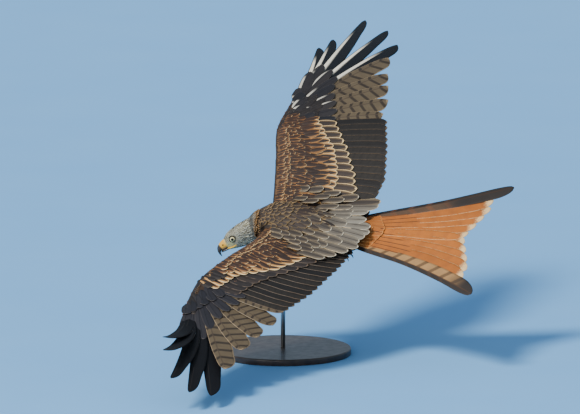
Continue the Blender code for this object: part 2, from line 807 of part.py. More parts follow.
def belly_depth(up):
    """How far below the chest's middle the rod's axis leaves the belly."""
    table = sorted(BODY)
    depth, inside = 0.0, True
    while inside:
        depth += 0.25
        x, y, z = -up * depth
        half_width = float(smooth_curve([(row[0], row[1]) for row in table], x))
        bottom = float(smooth_curve([(row[0], row[3]) for row in table], x))
        inside = (y / half_width) ** 2 + (z / bottom) ** 2 < 1
    return depth


def main():
    clear_scene()
    home = bpy.data.collections.new("red_kite")
    bpy.context.scene.collection.children.link(home)
    pose = bpy.data.objects.new("bird_pose", None)
    home.objects.link(pose)
    # The wings and legs are cut by the torso's and the tail's own rings, grown by the gap.
    grown = body_rings(NECK_JOIN, TAIL_JOIN, GAP, TORSO_STEPS)
    grown += body_rings(TAIL_JOIN - GAP, BODY[-1][0] - 2, GAP, UNDERTAIL_STEPS)
    cutter = solid("body_cutter", *loft(grown), home)
    torso = make_torso(home)
    make_neck(home)
    make_head(home)
    make_bill(home)
    for side, name in ((1, "left"), (-1, "right")):
        ball(f"eye_{name}", head_point(np.array(EYE) * (1, side, 1)), EYE_RADIUS, home, 16, 10, "eye")
        make_leg(side, name, home, cutter)
        make_wing(name, home, cutter)
    make_tail(home)
    for obj in list(home.objects):
        if obj is not pose:
            obj.parent = pose
    pose.rotation_euler = (math.radians(-BANK), math.radians(-CLIMB), math.radians(HEADING))
    pose.location = (0, 0, CHEST_HEIGHT * MM)
    bpy.context.view_layer.update()
    make_stand(home, torso, pose)
    bpy.data.objects.remove(cutter)


main()
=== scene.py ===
"""The looks of the gliding red kite: its skin, feathers, head, feet and display stand.

Lengths are millimetres in the bird's own frame, +X to the head, +Y to its left wing and +Z out
of its back, until to_world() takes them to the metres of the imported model. The named sizes at the
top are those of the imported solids, so that the feathers grow where the solids have them.
"""

import math

import bmesh
import bpy
import numpy as np
from mathutils import Euler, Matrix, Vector


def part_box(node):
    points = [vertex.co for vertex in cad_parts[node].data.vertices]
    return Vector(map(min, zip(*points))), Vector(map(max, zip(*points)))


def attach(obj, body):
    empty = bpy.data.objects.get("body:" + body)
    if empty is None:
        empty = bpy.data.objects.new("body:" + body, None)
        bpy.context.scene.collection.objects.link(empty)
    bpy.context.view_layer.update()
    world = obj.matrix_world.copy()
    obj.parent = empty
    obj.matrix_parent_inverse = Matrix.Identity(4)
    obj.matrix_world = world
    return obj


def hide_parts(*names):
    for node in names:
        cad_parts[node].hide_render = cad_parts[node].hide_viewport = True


MM = 0.001

# The pose over the floor
HEADING, CLIMB, BANK = 165.2, 3.15, 28.9
CHEST_HEIGHT = 290.0

# The body's sections: x, half width, top, bottom, shift to the left
BODY = (
    (60, 29, 24, -38, 8),
    (38, 42, 36, -50, 3),
    (8, 53, 43, -57, 0),
    (-28, 53, 42, -56, 0),
    (-64, 46, 37, -47, 0),
    (-100, 38, 28, -36, 0),
    (-134, 31, 15, -27, 0),
    (-166, 24, 2, -21, -2),
)
BODY_FRONT = 56.3

# The head's own frame: +X to the bill, +Y to its left, +Z to the crown
HEAD_CENTRE = (103.0, 24.0, -29.0)
HEAD_YAW, HEAD_DOWN, HEAD_ROLL = 30.3, 14.9, 25.2
HEAD = (
    (-36, 25.2, 24.2, -30.0),
    (-24, 24.0, 23.8, -28.8),
    (-10, 22.0, 22.4, -27.2),
    (2, 19.6, 20.0, -25.4),
    (12, 16.4, 17.0, -23.4),
    (20, 12.8, 13.0, -21.6),
    (27, 9.4, 7.6, -20.0),
)
HEAD_REAR = -34.0
# How the neck leaves the body and runs into the head, as the solids have it
NECK_LEAD_OUT = np.array((14.0, 0.0, 2.0))
NECK_LEAD_IN, NECK_SPAN = 10.0, 40.0
# The left eye's middle, its radius, where it looks, and the radii of pupil and iris
EYE = (9.5, 14.2, 2.6)
EYE_RADIUS = 7.4
EYE_OUTWARD = (0.18, 1.0, 0.02)
PUPIL_RADIUS, IRIS_RADIUS = 3.3, 5.5
# How far out the eyelids lie, their half length and half height, and how thick they are
LID_OUT, LID_HALF_LENGTH, LID_HALF_HEIGHT, LID_RADIUS = 3.4, 6.9, 6.3, 0.9
# x, z of the middle, half width, height up, height down, and the lean of the section
CERE = (
    (24.6, -5.6, 8.0, 11.6, -8.0, 0),
    (27.3, -5.6, 8.6, 12.2, -8.2, 0),
    (31.5, -5.8, 7.6, 11.2, -8.4, 4),
    (36.0, -6.6, 6.7, 10.0, -7.9, 9),
    (40.5, -7.8, 6.0, 8.3, -7.2, 16),
)
UPPER_BILL = (
    (40.8, -7.9, 5.8, 7.9, -7.0, 16),
    (43.8, -9.3, 4.9, 6.6, -6.4, 27),
    (46.4, -12.0, 4.0, 4.7, -5.2, 45),
    (48.0, -15.8, 2.9, 3.0, -3.8, 66),
    (48.2, -20.0, 2.0, 2.0, -2.7, 84),
    (47.4, -24.2, 1.2, 1.1, -1.6, 97),
    (46.4, -27.8, 0.35, 0.35, -0.5, 104),
)
LOWER_BILL = (
    (24.2, -16.8, 6.6, 3.4, -2.5, 4),
    (27.3, -17.0, 6.8, 3.4, -2.7, 4),
    (33.0, -17.2, 6.2, 3.3, -2.6, 2),
    (38.0, -17.5, 5.2, 3.0, -2.4, 0),
    (41.6, -17.8, 3.4, 2.3, -2.0, -4),
    (43.2, -17.9, 1.2, 0.9, -0.9, -6),
)
# The left nostril, its radii, and the left gape from its corner to the cere
NOSTRIL, NOSTRIL_RADII = (34.5, 6.6, -3.4), (2.2, 1.0, 1.6)
GAPE = ((7.9, 16.6, -13.6), (17.0, 13.6, -15.2), (27.0, 8.6, -14.6))

# The wings' charts: sigma runs out along the bent wing and x forward. bend is y and z along the
# wing. greater and median are the lines that those rows' tips reach. scaly_to is how far out the
# small coverts are pale and scaly, as x and sigma.
WINGS = {
    "left": {
        "sign": 1,
        "bend": ((0, 0), (42, 5), (150, 20), (262, 26), (400, 40), (560, 64), (718, 95), (900, 140)),
        "front": ((18, 34), (90, 46), (170, 88), (258, 124), (316, 128), (388, 124)),
        "rear": ((18, -58), (90, -42), (165, -18), (258, 66), (316, 92), (388, 108)),
        "hand": ((272, 80), (380, 114)),
        "ulna": ((264, 76), (150, -4), (60, -34)),
        "trailing": ((322, -97), (245, -134), (143, -165), (52, -181)),
        "primaries": (
            (334, -88, 0), (390, -81, 0), (445, -59, 0), (511, -43, 6), (615, -35, 16),
            (716, -31, 4), (755, 6, 28), (761, 44, 60), (711, 73, 100), (620, 99, 82),
        ),
        "greater": ((20, -140), (71, -141), (108, -135), (171, -84), (229, -13), (277, 17), (330, 40)),
        "median": ((20, -112), (71, -118), (98, -104), (149, -70), (188, -30), (226, 40), (300, 84)),
        "scaly_to": ((-125, 71), (-109, 98), (-78, 149), (-43, 188), (21, 203), (94, 226)),
    },
    "right": {
        "sign": -1,
        "bend": ((0, 0), (42, 5), (150, 38), (268, 62), (420, 56), (560, 26), (717, -20), (900, -85)),
        "front": ((18, 34), (90, 44), (170, 58), (258, 75), (316, 70), (392, 60)),
        "rear": ((18, -58), (90, -48), (165, -46), (262, 18), (320, 28), (392, 42)),
        "hand": ((282, 30), (386, 50)),
        "ulna": ((272, 26), (150, -28), (60, -38)),
        "trailing": ((322, -163), (249, -182), (164, -197), (70, -180)),
        "primaries": (
            (348, -147, 0), (401, -145, 0), (459, -130, 0), (517, -113, 0), (602, -93, 0),
            (681, -93, 0), (762, -49, 0), (817, 17, 0), (674, 54, 0), (620, 72, 0),
        ),
        "greater": ((20, -140), (91, -136), (119, -141), (156, -129), (195, -113), (233, -93), (290, -55)),
        "median": ((20, -100), (91, -92), (124, -92), (150, -91), (189, -80), (228, -62), (290, -18)),
        "scaly_to": ((0, 292),),
    },
}
WING_END = 392.0
WING_THICKNESS = ((18, 22), (80, 17), (160, 13), (262, 11), (320, 8), (WING_END, 4.5))
WASHOUT = ((0, 3), (150, 3), (260, 2), (420, 0), (900, 0))
WASHOUT_AXIS = 30.0
# How far the plumage leans outwards as it runs back, by sigma
PLUMAGE_LEAN = (
    (0, -0.05), (50, 0.0), (150, 0.2), (264, 0.42), (310, 0.9), (350, 1.5), (400, 2.6),
)
FINGERS, INNER_PRIMARIES, SECONDARIES, PRIMARY_COVERTS = 5, 5, 15, 9
# How many rows the small coverts have above and below the wing, and each long feather's tilt
SMALL_ROWS, UNDER_ROWS = 18, 11
LOUVRE = 4.5

# The tail: root in the body frame, then each feather from the middle out, as how far its root
# stands aside, and how far back and aside its tip reaches
TAIL_ROOT = (-118.0, -16.0, -12.0)
TAIL_ROLL, TAIL_PITCH, TAIL_YAW = -4.0, 5.0, 2.4
RECTRICES = ((3, 300, 15), (9, 310, 43), (16, 320, 72), (23, 328, 99), (30, 326, 126), (37, 360, 173))
TAIL_LOUVRE = 5.0

# Small feathers' lengths: by row on the wings, and by place on mantle, neck and head
LENGTHS = {
    "small_coverts": ((0, 40), (3, 28), (6, 20), (10, 14), (17, 8)),
    "under_coverts": ((0, 10), (6, 20), (10, 30)),
    "mantle": ((-110, 46), (-60, 40), (0, 30), (62, 19)),
    "neck": ((0.0, 20), (0.5, 19), (1.0, 15)),
    "head": ((-34, 26), (-12, 14), (6, 6.5), (18, 4.2), (27, 2.8)),
}
# How far the mantle's feathers reach to the right and left, by x
MANTLE_RIGHT = ((-110, -34), (-40, -50), (42, -35), (62, -15))
MANTLE_LEFT = ((-110, 34), (-40, 50), (42, 43), (62, 28))

# How deep the skin lies under the solids' surface, the size of its remesh, the seed of all random
# draws, and the size of a small feather's patch on the baking map
SKIN_DEPTH = 1.6
SKIN_VOXEL = 2.4
SEED = 7
PATCH = 0.003

# The camera: as far off as flattens the view, aimed so that the chest lands where the photo has it
IMAGE_WIDTH, IMAGE_HEIGHT = 580, 414
CHEST_PIXEL = (283, 224)
MM_PER_PIXEL = 2.2
CAMERA_DISTANCE = 25.0
CAMERA_ELEVATION = 10.0
CAMERA_REACH = 200.0
SENSOR = 36.0


def unit(v):
    v = np.asarray(v, float)
    return v / np.maximum(np.linalg.norm(v, axis=-1, keepdims=True), 1e-9)


def turned(yaw, down, roll):
    euler = Euler((math.radians(roll), math.radians(down), math.radians(yaw)), "XYZ")
    return np.array(euler.to_matrix())


POSE = turned(HEADING, -CLIMB, -BANK)
HEAD_TURN = turned(HEAD_YAW, HEAD_DOWN, HEAD_ROLL)


def to_world(points):
    return (np.asarray(points, float) @ POSE.T + (0, 0, CHEST_HEIGHT)) * MM


def smooth_curve(points, at):
    """A cubic through points (x, y), with x rising, read at one or many x."""
    xs, ys = np.array(points, float).T
    slopes = np.gradient(ys, xs)
    at = np.clip(at, xs[0], xs[-1])
    i = np.clip(np.searchsorted(xs, at) - 1, 0, len(xs) - 2)
    step = xs[i + 1] - xs[i]
    u = (at - xs[i]) / step
    return (
        (2 * u**3 - 3 * u**2 + 1) * ys[i]
        + (u**3 - 2 * u**2 + u) * step * slopes[i]
        + (3 * u**2 - 2 * u**3) * ys[i + 1]
        + (u**3 - u**2) * step * slopes[i + 1]
    )


def table_columns(table, x, columns):
    rows = sorted(table)
    return [smooth_curve([(row[0], row[i]) for row in rows], x) for i in columns]


def read_at(table, place):
    """A table of (place, value) rows, read in straight lines between them."""
    return np.interp(place, *np.array(table, float).T)


def line_at(points, t):
    """A point along a polyline, by share of its length."""
    points = np.array(points, float)
    steps = np.concatenate([[0], np.cumsum(np.linalg.norm(np.diff(points, axis=0), axis=1))])
    steps /= steps[-1]
    return np.stack([np.interp(t, steps, points[:, i]) for i in range(points.shape[1])], axis=-1)


# The surfaces that feathers grow on. Each takes arrays and returns points in the bird's frame.

def oval_points(half_width, top, bottom, angle, power=1.0):
    across = np.copysign(np.abs(np.cos(angle)) ** power, np.cos(angle)) * half_width
    sine = np.copysign(np.abs(np.sin(angle)) ** power, np.sin(angle))
    return across, np.where(sine > 0, top, -bottom) * sine


def body_surface(x, angle):
    half_width, top, bottom, shift = table_columns(BODY, x, (1, 2, 3, 4))
    across, height = oval_points(half_width, top, bottom, angle)
    return np.stack([x + 0 * across, across + shift, height], axis=-1)


def head_local(x, angle):
    half_width, top, bottom = table_columns(HEAD, x, (1, 2, 3))
    across, height = oval_points(half_width, top, bottom, angle, 0.9)
    over_eye = np.exp(-(((x - EYE[0]) / 10) ** 2) - ((height - 9.5) / 4.5) ** 2)
    at_eye = np.exp(-(((x - EYE[0] - 1) / 8) ** 2) - ((height - 1.5) / 6) ** 2)
    lore = np.exp(-(((x - 22) / 6) ** 2) - ((height + 1) / 6) ** 2)
    across = across + np.copysign(1.6 * over_eye - 1.2 * at_eye - 1.4 * lore, across)
    return np.stack([x + 0 * across, across, height], axis=-1)


def from_head(points):
    return np.asarray(points, float) @ HEAD_TURN.T + np.array(HEAD_CENTRE)


def head_surface(x, angle):
    return from_head(head_local(x, angle))


def neck_surface(t, angle):
    """From the body's front ring at t = 0 to the head's rear ring at t = 1."""
    start = body_surface(np.full_like(angle, BODY_FRONT), angle)
    end = head_surface(np.full_like(angle, HEAD_REAR), angle)
    t = np.asarray(t, float)[..., None]
    reach = np.minimum(np.linalg.norm(end - start, axis=-1, keepdims=True) / NECK_SPAN, 1.0)
    lead_out = reach * NECK_LEAD_OUT
    lead_in = reach * -HEAD_TURN[:, 0] * NECK_LEAD_IN
    return (
        (1 - t) ** 3 * start
        + 3 * (1 - t) ** 2 * t * (start + lead_out)
        + 3 * (1 - t) * t**2 * (end + lead_in)
        + t**3 * end
    )


def surface_frames(surface, a, b, step_a, step_b):
    """Points, outward normals and the lie of the plumage. The first coordinate grows towards the
    bill, and the plumage runs back along it."""
    here = surface(a, b)
    along = unit(surface(a + step_a, b) - surface(a - step_a, b))
    around = surface(a, b + step_b) - surface(a, b - step_b)
    out = unit(np.cross(around, along))
    return here, out, -along


class Wing:
    """A wing's chart: sigma runs out along the bent wing and x runs forward."""

    def __init__(self, side):
        self.side = side
        self.spec = WINGS[side]
        self.sign = self.spec["sign"]
        self.ys = np.linspace(0, 900, 181)
        self.heights = smooth_curve(self.spec["bend"], self.ys)
        steps = np.hypot(np.diff(self.ys), np.diff(self.heights))
        self.arc = np.concatenate([[0], np.cumsum(steps)])

    def surface(self, sigma, x):
        y = np.interp(sigma, self.arc, self.ys)
        z = np.interp(y, self.ys, self.heights)
        wash = np.tan(np.radians(read_at(WASHOUT, sigma)))
        return np.stack([x + 0 * y, self.sign * y, z + (x - WASHOUT_AXIS) * wash], axis=-1)

    def normal(self, sigma, x):
        out = self.surface(sigma + 5, x) - self.surface(sigma - 5, x)
        fore = self.surface(sigma, x + 5) - self.surface(sigma, x - 5)
        return unit(np.cross(fore, out) * self.sign)

    def front(self, sigma):
        return smooth_curve(self.spec["front"], sigma)

    def rear(self, sigma):
        return smooth_curve(self.spec["rear"], sigma)

    def thickness(self, sigma):
        return read_at(WING_THICKNESS, sigma)

    def skin_height(self, sigma, x, above):
        """Height of the arm's skin over the chart, above it or below it."""
        share = np.clip((self.front(sigma) - x) / (self.front(sigma) - self.rear(sigma)), 0, 1)
        stops = (0, 0.07, 0.28, 0.62, 1.0)
        heights = (0, 0.62, 1.0, 0.78, 0.22) if above else (0, -0.55, -0.85, -0.62, -0.2)
        return np.interp(share, stops, heights) * self.thickness(sigma)

    def lie(self, sigma):
        """Direction of the plumage in the chart, as (sigma, x)."""
        lean = read_at(PLUMAGE_LEAN, sigma)
        return unit(np.stack([lean, -np.ones_like(lean)], axis=-1))


WING = {side: Wing(side) for side in WINGS}


# The back: how high the wings' roots stand over their charts, where they end in front, a height
# that is under the body everywhere, and how softly body and wings run into each other
ROOT_HEIGHT, ROOT_FRONT, UNDER_BODY, BACK_BLEND = 9.0, 42.0, -10.0, 3.5


def back_height(x, y):
    """Height of the back, which runs over the body and out on the roots of the wings."""
    half_width, top = table_columns(BODY, x, (1, 2))
    body = top * np.sqrt(np.clip(1 - (y / (half_width * 1.02)) ** 2, 0, 1))
    wing = np.zeros_like(body)
    wash = math.tan(math.radians(WASHOUT[0][1]))
    for side in WINGS.values():
        rise = smooth_curve(side["bend"], np.abs(y)) + (x - WASHOUT_AXIS) * wash + ROOT_HEIGHT
        wing = np.where(y * side["sign"] > 0, rise, wing)
    wing = np.where(x > ROOT_FRONT, UNDER_BODY, wing)
    return BACK_BLEND * np.logaddexp(body / BACK_BLEND, wing / BACK_BLEND)


# Meshes

def mesh_object(name, points, faces, material, smooth=True):
    mesh = bpy.data.meshes.new(name)
    mesh.from_pydata([tuple(p) for p in points], [], faces)
    mesh.materials.append(material)
    mesh.polygons.foreach_set("use_smooth", [smooth] * len(mesh.polygons))
    obj = bpy.data.objects.new(name, mesh)
    bpy.context.collection.objects.link(obj)
    return obj


def face_out(obj):
    work = bmesh.new()
    work.from_mesh(obj.data)
    bmesh.ops.remove_doubles(work, verts=work.verts, dist=1e-6)
    bmesh.ops.recalc_face_normals(work, faces=work.faces)
    work.to_mesh(obj.data)
    work.free()
    return obj


def ring_angles(count):
    return np.linspace(0, math.tau, count, endpoint=False)


def tube_faces(rings, sides):
    """Quads of a closed loft through rings, and its two end caps."""
    faces = []
    for r in range(rings - 1):
        for j in range(sides):
            a, b = r * sides + j, r * sides + (j + 1) % sides
            faces.append((a, b, b + sides, a + sides))
    faces.append(tuple(reversed(range(sides))))
    faces.append(tuple(range((rings - 1) * sides, rings * sides)))
    return faces


def lofted(name, rings, material):
    """A closed loft through rings of world points."""
    count, sides = rings.shape[:2]
    return face_out(mesh_object(name, rings.reshape(-1, 3), tube_faces(count, sides), material))


def joined(name, objects):
    """One object from several, in the order given."""
    bpy.ops.object.select_all(action="DESELECT")
    for obj in objects:
        obj.select_set(True)
    bpy.context.view_layer.objects.active = objects[0]
    bpy.ops.object.join()
    objects[0].name = name
    return objects[0]


def place_piece(obj):
    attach(obj, "root")


def evaluated(obj):
    """The object's mesh with its modifiers applied, as plain mesh data."""
    graph = bpy.context.evaluated_depsgraph_get()
    graph.update()
    return bpy.data.meshes.new_from_object(
        obj.evaluated_get(graph), preserve_all_data_layers=True, depsgraph=graph
    )


class Vanes:
    """Collects long feathers, each a closed vane with its own strip of the baking map."""

    def __init__(self, name, expected):
        self.name = name
        self.expected = expected
        self.points, self.faces, self.vane_uv, self.bake_uv = [], [], [], []
        self.tones, self.unders, self.count, self.index = [], [], 0, 0

    def add(self, top, bottom, tone):
        """top and bottom are (stations, columns, 3) grids of one vane."""
        count, columns = top.shape[:2]
        rings = np.concatenate([top, bottom[:, ::-1]], axis=1)
        sides = rings.shape[1]
        across = (np.concatenate([COLUMNS, COLUMNS[::-1]]) + 1) / 2
        along = stations(count)
        strips_in_row = math.ceil(math.sqrt(self.expected * 6))
        row, place = divmod(self.index, strips_in_row)
        rows = math.ceil(self.expected / strips_in_row)
        for face in tube_faces(count, sides):
            under = 0.0 if np.mean([f % sides for f in face]) < columns - 0.5 else 1.0
            self.unders.append(under)
            self.faces.append(tuple(self.count + f for f in face))
            for f in face:
                u, v = across[f % sides], along[f // sides]
                self.vane_uv.append((u, v))
                half = (0.06 + 0.4 * u) + (0.48 if under else 0.0)
                self.bake_uv.append(((place + half) / strips_in_row, (row + 0.03 + 0.94 * v) / rows))
        self.points.append(to_world(rings.reshape(-1, 3)))
        self.tones += [tone] * (count * sides)
        self.count += count * sides
        self.index += 1

    def build(self, material):
        obj = mesh_object(self.name, np.concatenate(self.points), self.faces, material)
        for layer, values in (("Vane", self.vane_uv), ("OFBake", self.bake_uv)):
            uv = obj.data.uv_layers.new(name=layer)
            uv.data.foreach_set("uv", np.array(values, float).ravel())
        tone = obj.data.attributes.new("tone", "FLOAT", "POINT")
        tone.data.foreach_set("value", self.tones)
        under = obj.data.attributes.new("under", "FLOAT", "FACE")
        under.data.foreach_set("value", self.unders)
        return obj


# Places across a vane from its outer edge to its inner one, and how far its edges wave
COLUMNS = np.array((-1, -0.82, -0.5, -0.2, -0.05, 0.0, 0.05, 0.2, 0.5, 0.82, 1))
EDGE_WAVE = 0.25
RNG = np.random.default_rng(SEED)


def vane_grids(place, lead, normal, outer, inner, camber, shaft, thickness, tilt):
    """Top and bottom grids of one vane.

    place, lead and normal hold a row for each station; outer and inner the half widths there.
    """
    slope = math.radians(tilt)
    across = lead * math.cos(slope) + normal * math.sin(slope)
    over = normal * math.cos(slope) - lead * math.sin(slope)
    s = stations(len(place))[:, None]
    half = np.where(COLUMNS[None, :] < 0, outer[:, None], inner[:, None])
    flat = place[:, None] + across[:, None] * (-COLUMNS[None, :] * half)[..., None]
    phase = RNG.uniform(0, math.tau)
    ripple = EDGE_WAVE * np.sin(s * 17 + phase) * np.abs(COLUMNS) ** 2
    height = -camber * (COLUMNS**2) * np.minimum(half, 14) / 14 + ripple
    rise = shaft * (1 - 0.8 * s) * np.exp(-((COLUMNS[None, :] * half / 1.1) ** 2))
    low = height - thickness - 0.7 * rise
    return flat + over[:, None] * (height + rise)[..., None], flat + over[:, None] * low[..., None]


def width_profile(s, base, full_by, round_from, power=2.0):
    """Share of the full width along a vane: it widens from the base and rounds off at the tip."""
    grow = base + (1 - base) * np.sin(np.clip(s / full_by, 0, 1) * math.pi / 2)
    left = np.clip((s - round_from) / (1 - round_from), 0, 1)
    return grow * np.maximum((1 - left**power) ** 0.6, 0.12 * (1 - left**8) + 0.03)


def stations(count):
    """Places along a vane, closer together at its tip."""
    t = np.linspace(0, 1, count)
    return 1 - (1 - t) ** 1.35


def chart_path(wing, root, tip, bow, height, s):
    """Places, leading directions and normals of a vane that follows the wing's bend.

    height(share, sigma, x) is how far it stands over the chart.
    """
    root, tip = np.array(root, float), np.array(tip, float)
    along = tip - root
    aside = np.array((-along[1], along[0])) / np.linalg.norm(along)

    def at(t):
        sigma, x = (root + along * t[:, None] + aside * (bow * np.sin(math.pi * t))[:, None]).T
        return wing.surface(sigma, x) + wing.normal(sigma, x) * height(t, sigma, x)[:, None]

    place = at(s)
    tangent = unit(at(s + 0.01) - at(s - 0.01))
    chart = root + along * s[:, None]
    normal = wing.normal(chart[:, 0], chart[:, 1])
    lead = unit(np.cross(tangent, normal)) * wing.sign
    return place, lead, unit(np.cross(lead, tangent)) * wing.sign


# Shader graphs

def srgb(red, green, blue):
    """A colour as a photo's 0 to 255 values give it, made linear."""
    parts = [c / 255 for c in (red, green, blue)]
    return (*(c / 12.92 if c <= 0.04045 else ((c + 0.055) / 1.055) ** 2.4 for c in parts), 1.0)


class Graph:
    """Short forms for building a node tree."""

    def __init__(self, tree):
        self.tree = tree

    def put(self, kind, **settings):
        node = self.tree.nodes.new(kind)
        for name, value in settings.items():
            setattr(node, name, value)
        return node

    def feed(self, socket, value):
        if isinstance(value, bpy.types.NodeSocket):
            self.tree.links.new(value, socket)
        elif value is not None:
            socket.default_value = value

    def math(self, operation, a, b=None, c=None):
        node = self.put("ShaderNodeMath", operation=operation)
        for socket, value in zip(node.inputs, (a, b, c)):
            self.feed(socket, value)
        return node.outputs[0]

    def step(self, value, low, high):
        """0 below low and 1 above high, smooth between; low may be the larger."""
        node = self.put("ShaderNodeMapRange", interpolation_type="SMOOTHSTEP")
        self.feed(node.inputs["Value"], value)
        self.feed(node.inputs["From Min"], low)
        self.feed(node.inputs["From Max"], high)
        return node.outputs["Result"]

    def mix(self, factor, a, b, blend="MIX"):
        node = self.put("ShaderNodeMix", data_type="RGBA", blend_type=blend)
        self.feed(node.inputs["Factor"], factor)
        self.feed(node.inputs[6], a)
        self.feed(node.inputs[7], b)
        return node.outputs[2]

    def noise(self, vector, scale, detail=2.0, roughness=0.5):
        node = self.put("ShaderNodeTexNoise")
        self.feed(node.inputs["Vector"], vector)
        node.inputs["Scale"].default_value = scale
        node.inputs["Detail"].default_value = detail
        node.inputs["Roughness"].default_value = roughness
        return node.outputs["Fac"]

    def split(self, vector):
        node = self.put("ShaderNodeSeparateXYZ")
        self.feed(node.inputs[0], vector)
        return node.outputs

    def attribute(self, name):
        return self.put("ShaderNodeAttribute", attribute_name=name).outputs["Fac"]

    def group(self, tree, **values):
        node = self.put("ShaderNodeGroup", node_tree=tree)
        for name, value in values.items():
            self.feed(node.inputs[name.replace("_", " ")], value)
        return node.outputs


def shader_group(name, inputs, outputs):
    tree = bpy.data.node_groups.new(name, "ShaderNodeTree")
    for label, kind, value in inputs:
        socket = tree.interface.new_socket(label, in_out="INPUT", socket_type=kind)
        if value is not None:
            socket.default_value = value
    for label in outputs:
        tree.interface.new_socket(label, in_out="OUTPUT", socket_type="NodeSocketFloat")
    graph = Graph(tree)
    return tree, graph, graph.put("NodeGroupInput").outputs, graph.put("NodeGroupOutput").inputs


def vane_marks():
    """Where a vane's pale fringe, dark shaft line, bars and barbs lie, from its own map."""
    tree, g, given, out = shader_group(
        "vane_marks",
        (
            ("Vane", "NodeSocketVector", None),
            ("Wobble", "NodeSocketFloat", 0.0),
            ("Side fringe", "NodeSocketFloat", 0.1),
            ("Tip fringe", "NodeSocketFloat", 0.05),
            ("Shaft width", "NodeSocketFloat", 0.05),
            ("Bars", "NodeSocketFloat", 6.0),
            ("Barbs", "NodeSocketFloat", 60.0),
        ),
        ("Fringe", "Shaft", "Bar", "Barb", "Along", "Across", "Middle"),
    )
    across, along, _ = g.split(given["Vane"])
    from_middle = g.math("ABSOLUTE", g.math("SUBTRACT", across, 0.5))
    to_edge = g.math("ADD", g.math("SUBTRACT", 0.5, from_middle), given["Wobble"])
    reach = g.math("MULTIPLY", given["Side fringe"], g.math("MULTIPLY_ADD", along, 0.7, 0.6))
    side = g.step(to_edge, reach, g.math("MULTIPLY", reach, 0.45))
    side = g.math("MULTIPLY", side, g.step(along, 0.1, 0.4))
    to_tip = g.math("ADD", g.math("SUBTRACT", 1.0, along), given["Wobble"])
    tip = g.step(to_tip, given["Tip fringe"], g.math("MULTIPLY", given["Tip fringe"], 0.45))
    shaft = g.step(from_middle, given["Shaft width"], g.math("MULTIPLY", given["Shaft width"], 0.4))
    bar_slant = g.math("MULTIPLY", from_middle, 0.06)
    swing = g.math("MULTIPLY", g.math("SUBTRACT", along, bar_slant), given["Bars"])
    bar = g.math("SINE", g.math("MULTIPLY", g.math("ADD", swing, given["Wobble"]), math.tau))
    barb_slant = g.math("MULTIPLY", from_middle, 0.2)
    strand = g.math("MULTIPLY", g.math("SUBTRACT", along, barb_slant), given["Barbs"])
    barb = g.math("SINE", g.math("MULTIPLY", strand, math.tau))
    g.feed(out["Fringe"], g.math("MAXIMUM", side, tip))
    g.feed(out["Shaft"], shaft)
    g.feed(out["Bar"], g.step(bar, 0.35, 0.85))
    g.feed(out["Barb"], g.math("MULTIPLY_ADD", barb, 0.5, 0.5))
    g.feed(out["Along"], along)
    g.feed(out["Across"], across)
    g.feed(out["Middle"], from_middle)
    return tree


def mottling():
    """Uneven light and dark over an area, from places on the object."""
    tree, g, given, out = shader_group(
        "mottling",
        (("Place", "NodeSocketVector", None),),
        ("Broad", "Fine"),
    )
    g.feed(out["Broad"], g.noise(given["Place"], 38.0, 2.0))
    g.feed(out["Fine"], g.noise(given["Place"], 420.0, 3.0, 0.6))
    return tree


def new_material(name, roughness=0.6, specular=0.3, metallic=0.0):
    material = bpy.data.materials.new(name)
    material.use_nodes = True
    shader = material.node_tree.nodes["Principled BSDF"]
    shader.inputs["Roughness"].default_value = roughness
    shader.inputs["Specular IOR Level"].default_value = specular
    shader.inputs["Metallic"].default_value = metallic
    return material, Graph(material.node_tree), shader.inputs


def add_bump(g, shader, height, strength, distance):
    bump = g.put("ShaderNodeBump")
    bump.inputs["Strength"].default_value = strength
    bump.inputs["Distance"].default_value = distance
    g.feed(bump.inputs["Height"], height)
    g.feed(shader["Normal"], bump.outputs[0])


